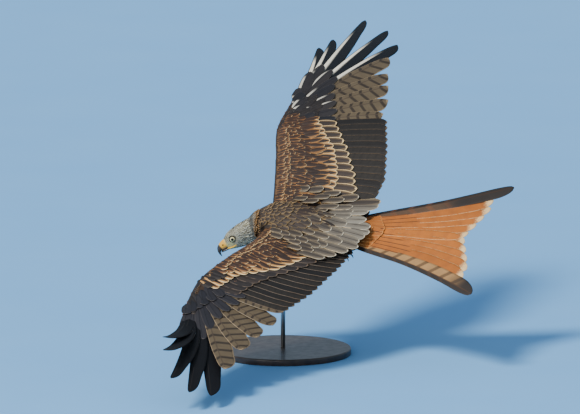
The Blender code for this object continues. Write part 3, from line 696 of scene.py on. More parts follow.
def plumage(
    name, web, web_far=None, outer=None, tip=None, tip_from=0.8, barbs=60.0,
    fringe=None, fringe_far=None, side_fringe=0.12, tip_fringe=0.08, shaft=None, shaft_width=0.05,
    core=None, core_far=None, core_width=0.3, bar=None, bars=6.0, bar_share=0.7,
    sheen_stripe=None, sheen_across=None, under=None, under_tip=None, under_tip_from=0.7,
    roughness=0.62, specular=0.25,
):
    """A feather's finish. web is its colour where its tone is 0, and web_far where it is 1.
    fringe_far is the fringe's colour at the tip. The core is a dark middle that narrows to the tip,
    and the pale stripe is painted sheen, a streak of reflected light that runs as far along the outer
    web as the tone says."""
    material, g, shader = new_material(name, roughness, specular)
    place = g.put("ShaderNodeTexCoord").outputs["Object"]
    broad, fine = g.group(MOTTLING, Place=place)
    vane = g.put("ShaderNodeUVMap", uv_map="Vane").outputs[0]
    wobble = g.math("MULTIPLY", g.math("SUBTRACT", fine, 0.5), 0.09)
    marks = g.group(
        MARKS, Vane=vane, Wobble=wobble, Side_fringe=side_fringe, Tip_fringe=tip_fringe,
        Shaft_width=shaft_width, Bars=bars, Barbs=barbs,
    )
    tone = g.attribute("tone")
    colour = g.mix(tone, web, web_far or web)
    if outer:
        colour = g.mix(g.step(marks["Across"], 0.52, 0.44), colour, outer)
    if core:
        narrow = g.math("POWER", marks["Along"], 3.0)
        edge = g.math("ADD", g.math("MULTIPLY_ADD", narrow, -0.7 * core_width, core_width), wobble)
        share = g.step(marks["Middle"], edge, g.math("MULTIPLY", edge, 0.6))
        colour = g.mix(share, colour, g.mix(tone, core, core_far or core))
    if bar:
        colour = g.mix(g.math("MULTIPLY", marks["Bar"], bar_share), colour, bar)
    if tip:
        colour = g.mix(g.step(marks["Along"], tip_from - 0.08, tip_from + 0.08), colour, tip)
    if shaft:
        colour = g.mix(marks["Shaft"], colour, shaft)
    # Painted sheen: a pale streak of reflected light along the outer web, out as far as the tone says
    if sheen_stripe:
        low, high = sheen_across
        inward = g.math("MULTIPLY_ADD", marks["Along"], 0.24, marks["Across"])
        inner_side = g.step(g.math("ADD", inward, wobble), high + 0.06, high - 0.06)
        band = g.math("MULTIPLY", g.step(marks["Across"], low, low + 0.06), inner_side)
        ends = g.step(g.math("ADD", marks["Along"], wobble), tone, g.math("SUBTRACT", tone, 0.2))
        colour = g.mix(g.math("MULTIPLY", band, ends), colour, sheen_stripe)
    if fringe:
        edge = g.mix(g.step(marks["Along"], 0.45, 0.95), fringe, fringe_far or fringe)
        colour = g.mix(marks["Fringe"], colour, edge)
    if under:
        at_tip = g.step(marks["Along"], under_tip_from - 0.12, under_tip_from + 0.06)
        colour = g.mix(g.attribute("under"), colour, g.mix(at_tip, under, under_tip or under))
    shade = g.math("MULTIPLY_ADD", broad, 0.5, 0.75)
    shade = g.math("MULTIPLY", shade, g.math("MULTIPLY_ADD", marks["Barb"], 0.12, 0.94))
    shade = g.math("MULTIPLY", shade, g.math("MULTIPLY_ADD", fine, 0.3, 0.85))
    grey = g.put("ShaderNodeCombineColor")
    for socket in grey.inputs[:3]:
        g.feed(socket, shade)
    g.feed(shader["Base Color"], g.mix(1.0, colour, grey.outputs[0], "MULTIPLY"))
    add_bump(g, shader, marks["Barb"], 0.35, 0.00025)
    return material


# Small feathers laid by Geometry Nodes

def feather_tree():
    """Sets a feather on each root, turned to its lie and sized, and gives it its baking patch."""
    tree = bpy.data.node_groups.new("lay_feathers", "GeometryNodeTree")
    for label, kind in (
        ("Roots", "NodeSocketGeometry"), ("Feather", "NodeSocketObject"),
        ("Patch", "NodeSocketFloat"), ("Finish", "NodeSocketMaterial"),
    ):
        tree.interface.new_socket(label, in_out="INPUT", socket_type=kind)
    tree.interface.new_socket("Plumage", in_out="OUTPUT", socket_type="NodeSocketGeometry")
    g = Graph(tree)
    given = g.put("NodeGroupInput").outputs

    def named(name):
        node = g.put("GeometryNodeInputNamedAttribute", data_type="FLOAT_VECTOR")
        node.inputs["Name"].default_value = name
        return node.outputs["Attribute"]

    points = g.put("GeometryNodeMeshToPoints")
    g.feed(points.inputs["Mesh"], given["Roots"])
    upright = g.put("FunctionNodeAlignRotationToVector", axis="Z")
    g.feed(upright.inputs["Vector"], named("out"))
    laid = g.put("FunctionNodeAlignRotationToVector", axis="Y", pivot_axis="Z")
    g.feed(laid.inputs["Rotation"], upright.outputs[0])
    g.feed(laid.inputs["Vector"], named("lie"))
    source = g.put("GeometryNodeObjectInfo")
    g.feed(source.inputs["Object"], given["Feather"])
    instances = g.put("GeometryNodeInstanceOnPoints")
    g.feed(instances.inputs["Points"], points.outputs[0])
    g.feed(instances.inputs["Instance"], source.outputs["Geometry"])
    g.feed(instances.inputs["Rotation"], laid.outputs[0])
    g.feed(instances.inputs["Scale"], named("size"))
    real = g.put("GeometryNodeRealizeInstances")
    g.feed(real.inputs[0], instances.outputs[0])
    inside = g.put("ShaderNodeVectorMath", operation="SUBTRACT")
    g.feed(inside.inputs[0], named("Vane"))
    inside.inputs[1].default_value = (0.5, 0.5, 0.0)
    scaled = g.put("ShaderNodeVectorMath", operation="SCALE")
    g.feed(scaled.inputs[0], inside.outputs[0])
    g.feed(scaled.inputs["Scale"], given["Patch"])
    patch = g.put("ShaderNodeVectorMath", operation="ADD")
    g.feed(patch.inputs[0], named("root_uv"))
    g.feed(patch.inputs[1], scaled.outputs[0])
    store = g.put("GeometryNodeStoreNamedAttribute", data_type="FLOAT2", domain="CORNER")
    store.inputs["Name"].default_value = "OFBake"
    g.feed(store.inputs["Geometry"], real.outputs[0])
    g.feed(store.inputs["Value"], patch.outputs[0])
    finish = g.put("GeometryNodeSetMaterial")
    g.feed(finish.inputs["Geometry"], store.outputs[0])
    g.feed(finish.inputs["Material"], given["Finish"])
    g.feed(g.put("NodeGroupOutput").inputs[0], finish.outputs[0])
    return tree


# A small feather's thickness, as a share of its length
SMALL_THICKNESS = 0.02


def template(name, columns, count, shape, curl, camber):
    """One small feather of unit length and width, its root at the origin, lying along +Y."""
    columns = np.array(columns, float)
    s = stations(count)
    base, full_by, round_from, power = shape
    half = width_profile(s, base, full_by, round_from, power) * 0.5
    x = columns[None, :] * half[:, None]
    y = np.repeat(s[:, None], len(columns), axis=1)
    z = -curl * y**2 - camber * columns[None, :] ** 2 * half[:, None]
    top = np.stack([x, y, z], axis=-1)
    bottom = top + np.array((0, 0, -SMALL_THICKNESS))
    rings = np.concatenate([top, bottom[:, ::-1]], axis=1)
    sides = rings.shape[1]
    faces = tube_faces(count, sides)
    mesh = bpy.data.meshes.new(name)
    mesh.from_pydata([tuple(p) for p in rings.reshape(-1, 3)], [], faces)
    mesh.polygons.foreach_set("use_smooth", [True] * len(faces))
    across = (np.concatenate([columns, columns[::-1]]) + 1) / 2
    places = [(across[f % sides], s[f // sides]) for face in faces for f in face]
    uv = mesh.uv_layers.new(name="Vane")
    uv.data.foreach_set("uv", np.array(places).ravel())
    obj = bpy.data.objects.new(name, mesh)
    bpy.context.collection.objects.link(obj)
    return obj


def lay_coat(name, roots, out, lie, width, length, tone, root_uv, feather, finish, lift, sink):
    """A coat piece from arrays of roots in the bird's frame. lift is the feathers' angle off the
    surface in degrees, and sink how deep their roots lie."""
    count = len(roots)
    angle = np.radians(np.broadcast_to(lift, count))[:, None] * RNG.uniform(0.7, 1.3, (count, 1))
    lie, out = unit(lie - out * np.sum(lie * out, axis=1, keepdims=True)), unit(out)
    lifted = lie * np.cos(angle) + out * np.sin(angle)
    upward = out * np.cos(angle) - lie * np.sin(angle)
    mesh = bpy.data.meshes.new(name + "_roots")
    mesh.from_pydata([tuple(p) for p in to_world(roots - out * sink)], [], [])
    length = np.broadcast_to(length, count).astype(float)
    size = np.stack([np.broadcast_to(width, count), length, length], axis=1) * MM
    root_uv = np.column_stack([root_uv, np.zeros(count)])
    for label, values in (
        ("lie", lifted @ POSE.T), ("out", upward @ POSE.T), ("size", size), ("root_uv", root_uv),
    ):
        layer = mesh.attributes.new(label, "FLOAT_VECTOR", "POINT")
        layer.data.foreach_set("vector", np.asarray(values, float).ravel())
    layer = mesh.attributes.new("tone", "FLOAT", "POINT")
    layer.data.foreach_set("value", np.broadcast_to(tone, count).astype(float))
    obj = bpy.data.objects.new(name, mesh)
    bpy.context.collection.objects.link(obj)
    laid = obj.modifiers.new("feathers", "NODES")
    laid.node_group = LAY_FEATHERS
    given = {"Feather": FEATHER[feather], "Patch": PATCH, "Finish": FINISH[finish]}
    for item in LAY_FEATHERS.interface.items_tree:
        if item.name in given:
            laid[item.identifier] = given[item.name]
    result = evaluated(obj)
    obj.modifiers.clear()
    obj.data = result
    for label in ("lie", "out", "size", "root_uv"):
        found = obj.data.attributes.get(label)
        if found:
            obj.data.attributes.remove(found)
    return obj


# How far a feather may stand from its place in a row, as a share of the distance to the next
JITTER = 0.22


def staggered(start, end, step, span, gap):
    """Rows from start to end. step(a) is the distance to the next row, span(a) the row's two ends
    and gap(a) the distance between neighbours in it. Every second row stands half a gap aside."""
    rows, places = [], []
    direction = 1 if end > start else -1
    a, odd = start, False
    while (end - a) * direction > 0:
        low, high = span(a)
        count = max(int(round(abs(high - low) / gap(a))), 1)
        share = (np.arange(count) + (0.75 if odd else 0.25)) / count
        share = share + RNG.uniform(-JITTER, JITTER, count) / count
        rows.append(a + RNG.uniform(-JITTER, JITTER, count) * step(a))
        places.append(low + (high - low) * share)
        a, odd = a + direction * step(a), not odd
    return np.concatenate(rows), np.concatenate(places)


def noise_tone(count):
    return np.clip(RNG.normal(0.5, 0.25, count), 0, 1)


# Flight feathers

# Where along a long feather its widths are given, and how thick it is
FLIGHT_STOPS = (0, 0.15, 0.45, 0.78, 0.94, 1)
FLIGHT_THICKNESS = 0.7


def rounded_widths(widths, s, start):
    """Widths at places along a long feather, whose end is rounded off from start on."""
    stops = FLIGHT_STOPS if len(widths) == len(FLIGHT_STOPS) else np.linspace(0, 1, len(widths))
    round_off = np.sqrt(np.clip(1 - (np.clip(s - start, 0, 1) / (1.0003 - start)) ** 2, 0.01, 1))
    return smooth_curve(list(zip(stops, widths)), s) * round_off


def flight_grids(wing, root, tip, lift, bow, outer, inner, height, count):
    s = stations(count)

    def rise(t, sigma, x):
        return height[0] + (height[1] - height[0]) * t + lift * np.clip(t, 0, None) ** 1.5

    place, lead, normal = chart_path(wing, root, tip, bow, rise, s)
    return vane_grids(
        place, lead, normal, rounded_widths(outer, s, 0.955), rounded_widths(inner, s, 0.955),
        0.8, 0.55, FLIGHT_THICKNESS, LOUVRE,
    )


def primary_grids(wing, i):
    sigma, x, lift = wing.spec["primaries"][i]
    finger = min(max((i - 3.5) / 3, 0), 1)
    outer = [3, 8, 11 - 2 * finger, 12 - 5 * finger, 9 - 4 * finger, 4]
    inner = [3, 17, 34 - 9 * finger, 34 - 17 * finger, 24 - 13 * finger, 7 - 2 * finger]
    root = line_at(wing.spec["hand"], i / 9)
    return flight_grids(
        wing, root, (sigma, x), lift, 4 - 10 * finger, outer, inner, (0.5 - 0.25 * i, 0), 26
    )


def secondary_grids(wing, j):
    t = j / (SECONDARIES - 1)
    root, tip = line_at(wing.spec["ulna"], t), line_at(wing.spec["trailing"], t)
    return flight_grids(
        wing, root, tip, 0, 3, [3, 9, 12, 13, 11, 5], [3, 14, 19, 20, 16, 7], (0.8, 0), 22
    )


def make_flight_feathers(wing):
    name = wing.side
    fingers = Vanes(f"fingers_{name}", FINGERS)
    for i in reversed(range(INNER_PRIMARIES, INNER_PRIMARIES + FINGERS)):
        # On the right wing the fingers' tone sets how far the painted sheen runs along each one
        reach = 0.86 if name == "right" else 0.3
        fingers.add(*primary_grids(wing, i), reach + RNG.uniform(-0.05, 0.05))
    inner = Vanes(f"inner_primaries_{name}", INNER_PRIMARIES)
    for i in reversed(range(INNER_PRIMARIES)):
        inner.add(*primary_grids(wing, i), 0.25 * i)
    secondaries = Vanes(f"secondaries_{name}", SECONDARIES)
    for j in range(SECONDARIES):
        secondaries.add(*secondary_grids(wing, j), RNG.uniform(0, 0.6))
    for vanes, finish in (
        (fingers, f"fingers_{name}"), (inner, f"inner_primaries_{name}"), (secondaries, "secondaries"),
    ):
        place_piece(vanes.build(FINISH[finish]))


def reach_to(line, root, direction):
    """How far from root along direction a chart line, given as (sigma, x) points, is met."""
    lengths = np.arange(8.0, 170.0, 0.5)
    points = np.asarray(root, float) + np.outer(lengths, direction)
    beyond = points[:, 1] < read_at(line, points[:, 0])
    return lengths[np.argmax(beyond)] if beyond.any() else lengths[-1]


def covert_direction(wing, t):
    return unit(line_at(wing.spec["trailing"], t) - line_at(wing.spec["ulna"], t))


def top_height(wing, sigma, x):
    """Height of the wing's upper side over its chart, on the arm's skin and on the vanes behind it."""
    behind = np.clip(wing.rear(sigma) - x, 0, None)
    edge = wing.skin_height(sigma, wing.rear(sigma), True)
    on_vanes = 1.6 + (edge - 1.6) * np.exp(-behind / 25)
    return np.where(behind > 0, on_vanes, wing.skin_height(sigma, x, True))


COVERT_BOW, COVERT_TILT = 2.0, 3.0


def covert_grids(wing, root, tip, widths, rise, count=14):
    """A covert that lies on the wing's upper side; rise is its height over that at root and tip."""
    s = stations(count)

    def height(share, sigma, x):
        return top_height(wing, sigma, x) + rise[0] + (rise[1] - rise[0]) * share

    place, lead, normal = chart_path(wing, root, tip, COVERT_BOW, height, s)
    outer, inner = widths
    shape = width_profile(s, 0.35, 0.45, 0.74)
    return vane_grids(place, lead, normal, outer * shape, inner * shape, 1.3, 0.4, 0.5, COVERT_TILT)


def make_large_coverts(wing):
    name = wing.side
    spec = wing.spec
    count = 14
    greater = Vanes(f"greater_coverts_{name}", count)
    for j in range(count):
        t = 1 - j / (count - 1)
        direction = covert_direction(wing, t)
        root = line_at(spec["ulna"], t) + (0, 9)
        length = reach_to(spec["greater"], root, direction) + RNG.uniform(-2, 2)
        tip = root + direction * length
        greater.add(*covert_grids(wing, root, tip, (11, 17), (-0.5, 2.6)), RNG.uniform(0, 1))
    place_piece(greater.build(FINISH[f"greater_{name}"]))
    count = 17
    median = Vanes(f"median_coverts_{name}", count)
    for j in range(count):
        t = 1 - j / (count - 1)
        direction = covert_direction(wing, t)
        start = line_at(spec["ulna"], t) + (0, 34)
        length = reach_to(spec["median"], start, direction) + RNG.uniform(-3, 3)
        tip = start + direction * length
        root = tip - direction * 52
        median.add(*covert_grids(wing, root, tip, (9.5, 11.5), (-0.5, 3.4), 12), RNG.uniform(0, 1))
    place_piece(median.build(FINISH[f"median_{name}"]))
    primary = Vanes(f"primary_coverts_{name}", PRIMARY_COVERTS + 6)
    for i in reversed(range(PRIMARY_COVERTS)):
        root = line_at(spec["hand"], (i + 0.2) / 9) + (-4, 5)
        long_tip = np.array(spec["primaries"][i][:2])
        tip = root + (long_tip - root) * (0.46 - 0.014 * i)
        primary.add(*covert_grids(wing, root, tip, (9, 15), (-0.4, 2.4)), RNG.uniform(0, 1))
    for i in reversed(range(6)):
        root = line_at(spec["hand"], i / 6) + (-10, 14)
        long_tip = np.array(spec["primaries"][i + 2][:2])
        tip = root + unit(long_tip - root) * (62 - 4 * i)
        primary.add(*covert_grids(wing, root, tip, (9, 13), (0.2, 4.2)), RNG.uniform(0, 1))
    place_piece(primary.build(FINISH[f"primary_coverts_{name}"]))


# The wings' small coverts

def chart_map(sigma, x):
    """Places of small feathers on a wing's baking map."""
    return np.column_stack([sigma / 420, (x + 150) / 320])


def chart_frames(wing, sigma, x, above=True, reach=6.0):
    """Points, outward normals and lie on the wing's upper or lower side, over each one's reach."""
    def surface(s, c):
        if above:
            height = top_height(wing, s, c)
        else:
            share = np.clip((c - wing.rear(s)) / 16, 0, 1)
            height = wing.skin_height(s, c, False) * share - 3.4 * (1 - share)
        return wing.surface(s, c) + wing.normal(s, c) * height[:, None]

    here = surface(sigma, x)
    flow = wing.lie(sigma)
    lie = unit(surface(sigma + flow[:, 0] * reach, x + flow[:, 1] * reach) - here)
    out = surface(sigma + 2, x - reach / 2) - surface(sigma - 2, x - reach / 2)
    fore = here - surface(sigma, x - reach)
    normal = unit(np.cross(fore, out) * wing.sign) * (1 if above else -1)
    return here, normal, lie


def make_small_coverts(wing):
    name = wing.side
    spec = wing.spec
    rows = []
    ahead = 15.0
    for k in range(SMALL_ROWS):
        size = float(read_at(LENGTHS["small_coverts"], k))
        sigma = np.arange(22, 388, size * 0.28) + (size * 0.14 if k % 2 else 0)
        sigma = sigma + RNG.uniform(-0.07, 0.07, len(sigma)) * size
        tip = np.stack([sigma, read_at(spec["median"], sigma) + ahead], axis=-1)
        tip[:, 1] += RNG.uniform(-0.12, 0.12, len(sigma)) * size
        root = tip - wing.lie(sigma) * size
        over = np.full(len(sigma), np.interp(k, (0, 5), (2.6, 0.5)))
        rows.append(np.column_stack([root, size * RNG.uniform(0.9, 1.1, len(sigma)), over]))
        ahead += size * 0.5
    points = np.concatenate(rows)
    points = points[points[:, 1] < wing.front(points[:, 0]) - 4.0]
    sigma, x, sizes, over = points.T
    scaly = sigma < read_at(spec["scaly_to"], x)
    here, out, lie = chart_frames(wing, sigma, x, True, sizes * 0.7)
    here = here + out * over[:, None]
    lie = unit(lie + np.cross(out, lie) * RNG.normal(0, 0.09, (len(lie), 1)))
    uv = chart_map(sigma, x)
    for part, mask, finish in (("scaly", scaly, "lesser_scaly"), ("dark", ~scaly, "lesser_dark")):
        coat = lay_coat(
            f"{part}_coverts_{name}", here[mask], out[mask], lie[mask], sizes[mask] * 0.5, sizes[mask],
            np.clip(np.interp(x[mask], (-90, 60), (1, 0)) + RNG.normal(0, 0.15, mask.sum()), 0, 1),
            uv[mask], "covert", finish, 5.0, 0.6,
        )
        place_piece(coat)
    edge = np.arange(20, 392, 3.2)
    share = RNG.uniform(0, 1, len(edge))
    x = wing.front(edge) - 4.5 - 5 * share
    here, out, lie = chart_frames(wing, edge, x)
    place_piece(lay_coat(
        f"marginal_coverts_{name}", here, out, lie, 6.0, 10.0, np.clip((edge - 215) / 40, 0, 1),
        np.column_stack([edge / 420, share]), "covert", "marginal", 2.0, 0.6,
    ))


def make_under_coverts(wing):
    name = wing.side
    sigma_rows, x_rows, sizes = [], [], []
    for k in range(UNDER_ROWS):
        share = 0.03 + 0.097 * k
        size = read_at(LENGTHS["under_coverts"], k)
        sigma = np.arange(26, 388, size * 0.55) + (size * 0.27 if k % 2 else 0)
        x = wing.front(sigma) + (wing.rear(sigma) - wing.front(sigma)) * share
        sigma_rows.append(sigma + RNG.uniform(-1, 1, len(sigma)))
        x_rows.append(x + RNG.uniform(-1.5, 1.5, len(sigma)))
        sizes.append(np.full(len(sigma), size))
    sigma, x, size = (np.concatenate(v) for v in (sigma_rows, x_rows, sizes))
    here, out, lie = chart_frames(wing, sigma, x, above=False)
    place_piece(lay_coat(
        f"under_coverts_{name}", here, out, lie, size * 0.72, size, noise_tone(len(sigma)),
        chart_map(sigma, x), "covert", "under_covert", 4.0, 0.6,
    ))


# Tail

def tail_axes():
    """Directions of the fan: back along its middle, to its left, and up out of it."""
    pitch, roll, yaw = (math.radians(a) for a in (TAIL_PITCH, TAIL_ROLL, TAIL_YAW))
    back = np.array((-math.cos(pitch), 0.0, math.sin(pitch)))
    left = np.array((0.0, math.cos(roll), math.sin(roll)))
    turn, aside = math.cos(yaw), math.sin(yaw)
    back, left = back * turn + left * aside, left * turn - back * aside
    return back, left, unit(np.cross(left, back))


def tail_grids(side, root, tip, rise, bow, outer, inner, count, tilt, square=False):
    back, left, up = tail_axes()
    s = stations(count)
    reach = root[0] + (tip[0] - root[0]) * s
    aside = root[1] + (tip[1] - root[1]) * s + bow * np.sin(math.pi * s)
    height = rise[0] + (rise[1] - rise[0]) * s
    place = (
        np.array(TAIL_ROOT) + np.outer(reach, back) + np.outer(side * aside, left) + np.outer(height, up)
    )
    tangent = unit(np.gradient(place, axis=0))
    lead = -unit(left * side - tangent * (tangent @ left)[:, None] * side)
    start = 0.972 if square else 0.955
    medial, lateral = rounded_widths(inner, s, start), rounded_widths(outer, s, start)
    normals = np.broadcast_to(up, place.shape)
    return vane_grids(place, lead, normals, medial, lateral, 0.8, 0.6, FLIGHT_THICKNESS, tilt)


def make_tail():
    middle = Vanes("tail_middle", 10)
    outermost = {1: Vanes("tail_outer_left", 1), -1: Vanes("tail_outer_right", 1)}
    coverts = Vanes("tail_coverts", 20)
    for side in (1, -1):
        for i, (aside, reach, spread) in enumerate(RECTRICES):
            last = i / 5
            home = outermost[side] if i == 5 else middle
            bow = -14.0 * last if side > 0 else -6.0 * last
            home.add(*tail_grids(
                side, (22, aside), (reach, spread),
                (0.8 - 0.75 * i + 0.6 * (side > 0), -2.0 - 2.5 * last), bow,
                [3, 9, 13 - 4 * last, 16 - 6 * last, 14 - 3 * last, 8],
                [3, 12, 20, 26, 21, 9], 26, TAIL_LOUVRE, True,
            ), last)
        for i in range(5):
            coverts.add(*tail_grids(
                side, (18, 3 + 5.6 * i), (110 - 5 * i, 6 + 10 * i), (9.0 - 2.5 * i, 4.0 - 1.5 * i), 0.0,
                [4, 11, 13, 10], [4, 12, 15, 10], 16, 4.0,
            ), RNG.uniform(0, 1))
            coverts.add(*tail_grids(
                side, (2, 2 + 5 * i), (84 - 5 * i, 3 + 8 * i), (13.5 - 3.0 * i, 8.0 - 2.2 * i), 0.0,
                [4, 10, 11, 8], [4, 11, 12, 8], 14, 4.0,
            ), RNG.uniform(0, 1))
    place_piece(middle.build(FINISH["tail"]))
    place_piece(outermost[1].build(FINISH["tail_outer_left"]))
    place_piece(outermost[-1].build(FINISH["tail_outer_right"]))
    place_piece(coverts.build(FINISH["tail_covert"]))


# Body plumage

def body_patch(name, start, end, span, size, finish):
    """Feathers on the body from x = start to end. span gives their angles and size their length."""
    def gap(x):
        half_width, top, bottom = table_columns(BODY, x, (1, 2, 3))
        return float(size(x) * 0.42 / ((half_width + (top - bottom) / 2) / 2))

    x, angle = staggered(start, end, lambda a: size(a) * 0.36, span, gap)
    here, out, lie = surface_frames(body_surface, x, angle, 1.0, 0.03)
    length = size(x) * RNG.uniform(0.88, 1.12, len(x))
    place_piece(lay_coat(
        name, here, out, lie, length * 0.62, length, noise_tone(len(x)),
        np.column_stack([(x + 190) / 280, (angle / math.tau) % 1.0 * 0.96 + 0.02]),
        "body", finish, 6.0, 0.5,
    ))


def back_surface(x, y):
    return np.stack([x + 0 * y, y, back_height(x, y)], axis=-1)


def make_mantle():
    def size(x):
        return read_at(LENGTHS["mantle"], x)

    x, y = staggered(
        62, -96, lambda a: float(size(a)) * 0.36,
        lambda a: (float(read_at(MANTLE_RIGHT, a)), float(read_at(MANTLE_LEFT, a))),
        lambda a: float(size(a)) * 0.34,
    )
    here = back_surface(x, y)
    fore = back_surface(x + 1.5, y) - back_surface(x - 1.5, y)
    left = back_surface(x, y + 1.5) - back_surface(x, y - 1.5)
    out = unit(np.cross(fore, left))
    lie = unit(-unit(fore) + unit(left) * (0.22 * np.tanh(y / 25))[:, None])
    length = size(x) * RNG.uniform(0.9, 1.1, len(x))
    place_piece(lay_coat(
        "mantle_feathers", here, out, lie, length * 0.5, length, noise_tone(len(x)),
        np.column_stack([(x + 140) / 230, (y + 60) / 120]), "covert", "mantle", 5.0, 0.4,
    ))


# The shoulder feathers, rear ones first: x and y of the tip, length, half width, and how grey
SCAPULARS = (
    (-172, 88, 80, 12, 0.35), (-150, 108, 76, 11, 0.25),
    (-128, 124, 70, 10, 0.2), (-150, -45, 62, 13, 0.5),
    (-202, -89, 80, 12, 0.1), (-200, -75, 84, 14, 0.6), (-183, -53, 80, 14, 0.9), (-186, -22, 88, 16, 1.0),
    (-201, 0, 84, 14, 0.75), (-203, 19, 80, 13, 0.8), (-196, 34, 76, 13, 0.7), (-188, 52, 74, 12, 0.5),
    (-190, 69, 72, 12, 0.4), (-148, 1, 60, 14, 0.45), (-148, 34, 60, 13, 0.4), (-152, 61, 60, 12, 0.3),
    (-150, -30, 62, 13, 0.6), (-145, -61, 58, 11, 0.35), (-151, -93, 56, 11, 0.1), (-116, -20, 56, 12, 0.2),
    (-114, -57, 54, 11, 0.2), (-121, -81, 52, 10, 0.15), (-108, -98, 48, 8, 0.1), (-123, 78, 52, 11, 0.2),
    (-119, 26, 56, 11, 0.15), (-120, 52, 52, 10, 0.2), (-91, 10, 46, 10, 0.1), (-94, -36, 46, 10, 0.1),
    (-74, 26, 44, 10, 0.0), (-86, 45, 44, 8, 0.1), (-100, 66, 44, 9, 0.1), (-61, 58, 42, 9, 0.1),
    (-88, -86, 42, 9, 0.1), (-66, -66, 42, 9, 0.1), (-69, -102, 40, 9, 0.1), (-38, -98, 38, 9, 0.1),
    (-34, 62, 36, 8, 0.1), (-40, -68, 36, 8, 0.1), (-64, 84, 38, 8, 0.1), (-92, 92, 42, 9, 0.1),
    (-98, 104, 44, 9, 0.1), (-70, 102, 38, 8, 0.1), (-108, 84, 46, 10, 0.15), (-78, 74, 42, 9, 0.1),
    (-50, 74, 40, 9, 0.1), (-20, 74, 34, 8, 0.1), (-14, 58, 32, 8, 0.1),
)


def cover_height(x, y):
    """Height of the shoulders' cover: the back, the wings' upper side, or the plane behind them."""
    heights = [back_height(x, y), 17 + 0.06 * (x + 185) - 0.05 * np.abs(y)]
    for wing in WING.values():
        sigma = np.clip(y * wing.sign, 18, None)
        over = wing.surface(sigma, x)[..., 2] + top_height(wing, sigma, x)
        heights.append(np.where(y * wing.sign > 18, over, -40.0))
    edge = 3.0
    return edge * np.logaddexp.reduce([height / edge for height in heights])


def make_scapulars():
    """The shoulder feathers, which run back over the wings' roots like tiles."""
    vanes = Vanes("scapulars", len(SCAPULARS))
    s = stations(16)
    for x, y, length, half, grey in SCAPULARS:
        lie = unit((-1.0, 0.22 * math.tanh(y / 25)))
        at = np.array((x, y)) - np.outer(length * (1 - s), lie)

        def surface(ahead, aside):
            places = at + (ahead, aside)
            return np.column_stack([places, cover_height(*places.T)])

        fore = surface(1.5, 0) - surface(-1.5, 0)
        left = surface(0, 1.5) - surface(0, -1.5)
        normal = unit(np.cross(fore, left))
        rise = 2.4 * s - 7.0 * np.clip(1 - s / 0.35, 0, 1) ** 2
        place = surface(0, 0) + normal * rise[:, None]
        lead = unit(left) * (-1.0 if y > 0 else 1.0)
        shape = width_profile(s, 0.5, 0.55, 0.76)
        vanes.add(*vane_grids(
            place, lead, normal, half * shape, half * shape, 1.6, 0.4, 0.5, COVERT_TILT,
        ), grey)
    place_piece(vanes.build(FINISH["scapular"]))


def make_neck_coat():
    def size(t):
        return read_at(LENGTHS["neck"], t)

    t, angle = staggered(
        1.0, 0.0, lambda a: float(size(a)) * 0.3 / 42,
        lambda a: (0.0, math.tau), lambda a: float(size(a)) * 0.24 / 32,
    )
    here, out, lie = surface_frames(neck_surface, t, angle, 0.01, 0.03)
    length = size(t) * RNG.uniform(0.85, 1.15, len(t))
    place_piece(lay_coat(
        "neck_feathers", here, out, lie, length * 0.32, length,
        np.clip((0.9 - t) / 0.6 + RNG.normal(0, 0.15, len(t)), 0, 1),
        np.column_stack([t * 0.9 + 0.05, angle / math.tau]), "lancet", "neck", 2.0, 0.5,
    ))


def make_head_coat():
    def size(x):
        return read_at(LENGTHS["head"], x)

    def gap(x):
        half_width, top, bottom = table_columns(HEAD, x, (1, 2, 3))
        return float(size(x) * 0.26 / ((half_width + (top - bottom) / 2) / 2))

    x, angle = staggered(26.5, -36.0, lambda a: float(size(a)) * 0.28, lambda a: (0.0, math.tau), gap)
    local = head_local(x, angle)
    eyes = [np.linalg.norm(local - np.array(EYE) * (1, side, 1), axis=1) for side in (1, -1)]
    nearest = np.minimum(*eyes)
    keep = nearest > 8.0
    x, angle, local, nearest = x[keep], angle[keep], local[keep], nearest[keep]
    here, out, lie = surface_frames(head_surface, x, angle, 0.5, 0.03)
    for side in (1, -1):
        centre = from_head(np.array(EYE) * (1, side, 1))
        away = here - centre
        near = np.exp(-((np.linalg.norm(away, axis=1) - 7) / 5)) * (local[:, 1] * side > 0)
        lie = unit(lie + unit(away) * (0.9 * np.clip(near, 0, 1))[:, None])
    length = size(x) * RNG.uniform(0.85, 1.15, len(x)) * np.interp(nearest, (8, 14), (0.6, 1.0))
    lores = np.interp(local[:, 0], (8, 18), (0, 1)) * np.interp(local[:, 2], (-5, 0), (1, 0.15))
    tone = np.clip(lores + RNG.normal(0, 0.12, len(x)), 0, 1)
    place_piece(lay_coat(
        "head_feathers", here, out, lie, length * 0.34, length, tone,
        np.column_stack([(x + 40) / 70, angle / math.tau * 0.96 + 0.02]),
        "lancet", "head", 6.0, 0.3,
    ))


# Legs and feet

# The left thigh's places and radii, its ankle, the ball of the foot, each toe's angle outwards in
# radians and its length, how low knuckle and tip of a toe are, and the gap before its claw
THIGH = ((-34, 22, -34, 17), (-52, 22, -44, 16), (-72, 20, -50, 11), (-88, 18, -50, 5.5))
ANKLE = (-88.3, 18.0, -50.0)
BALL_OF_FOOT = (-120.0, 15.0, -44.0)
TOES = ((-0.38, 26), (0.0, 31), (0.38, 26), (0.9, 18))
KNUCKLE_DROP, TOE_DROP = 2.5, 7.0
GAP = 0.3


def path_frames(path):
    """Tangents and two crosswise directions along a path, with no twist."""
    path = np.asarray(path, float)
    tangents = unit(np.gradient(path, axis=0))
    first = np.cross(tangents[0], (0.0, 0.0, 1.0))
    if np.linalg.norm(first) < 0.1:
        first = np.cross(tangents[0], (0.0, 1.0, 0.0))
    across = [unit(first)]
    for tangent in tangents[1:]:
        across.append(unit(across[-1] - tangent * (across[-1] @ tangent)))
    across = np.array(across)
    return tangents, across, np.cross(tangents, across)


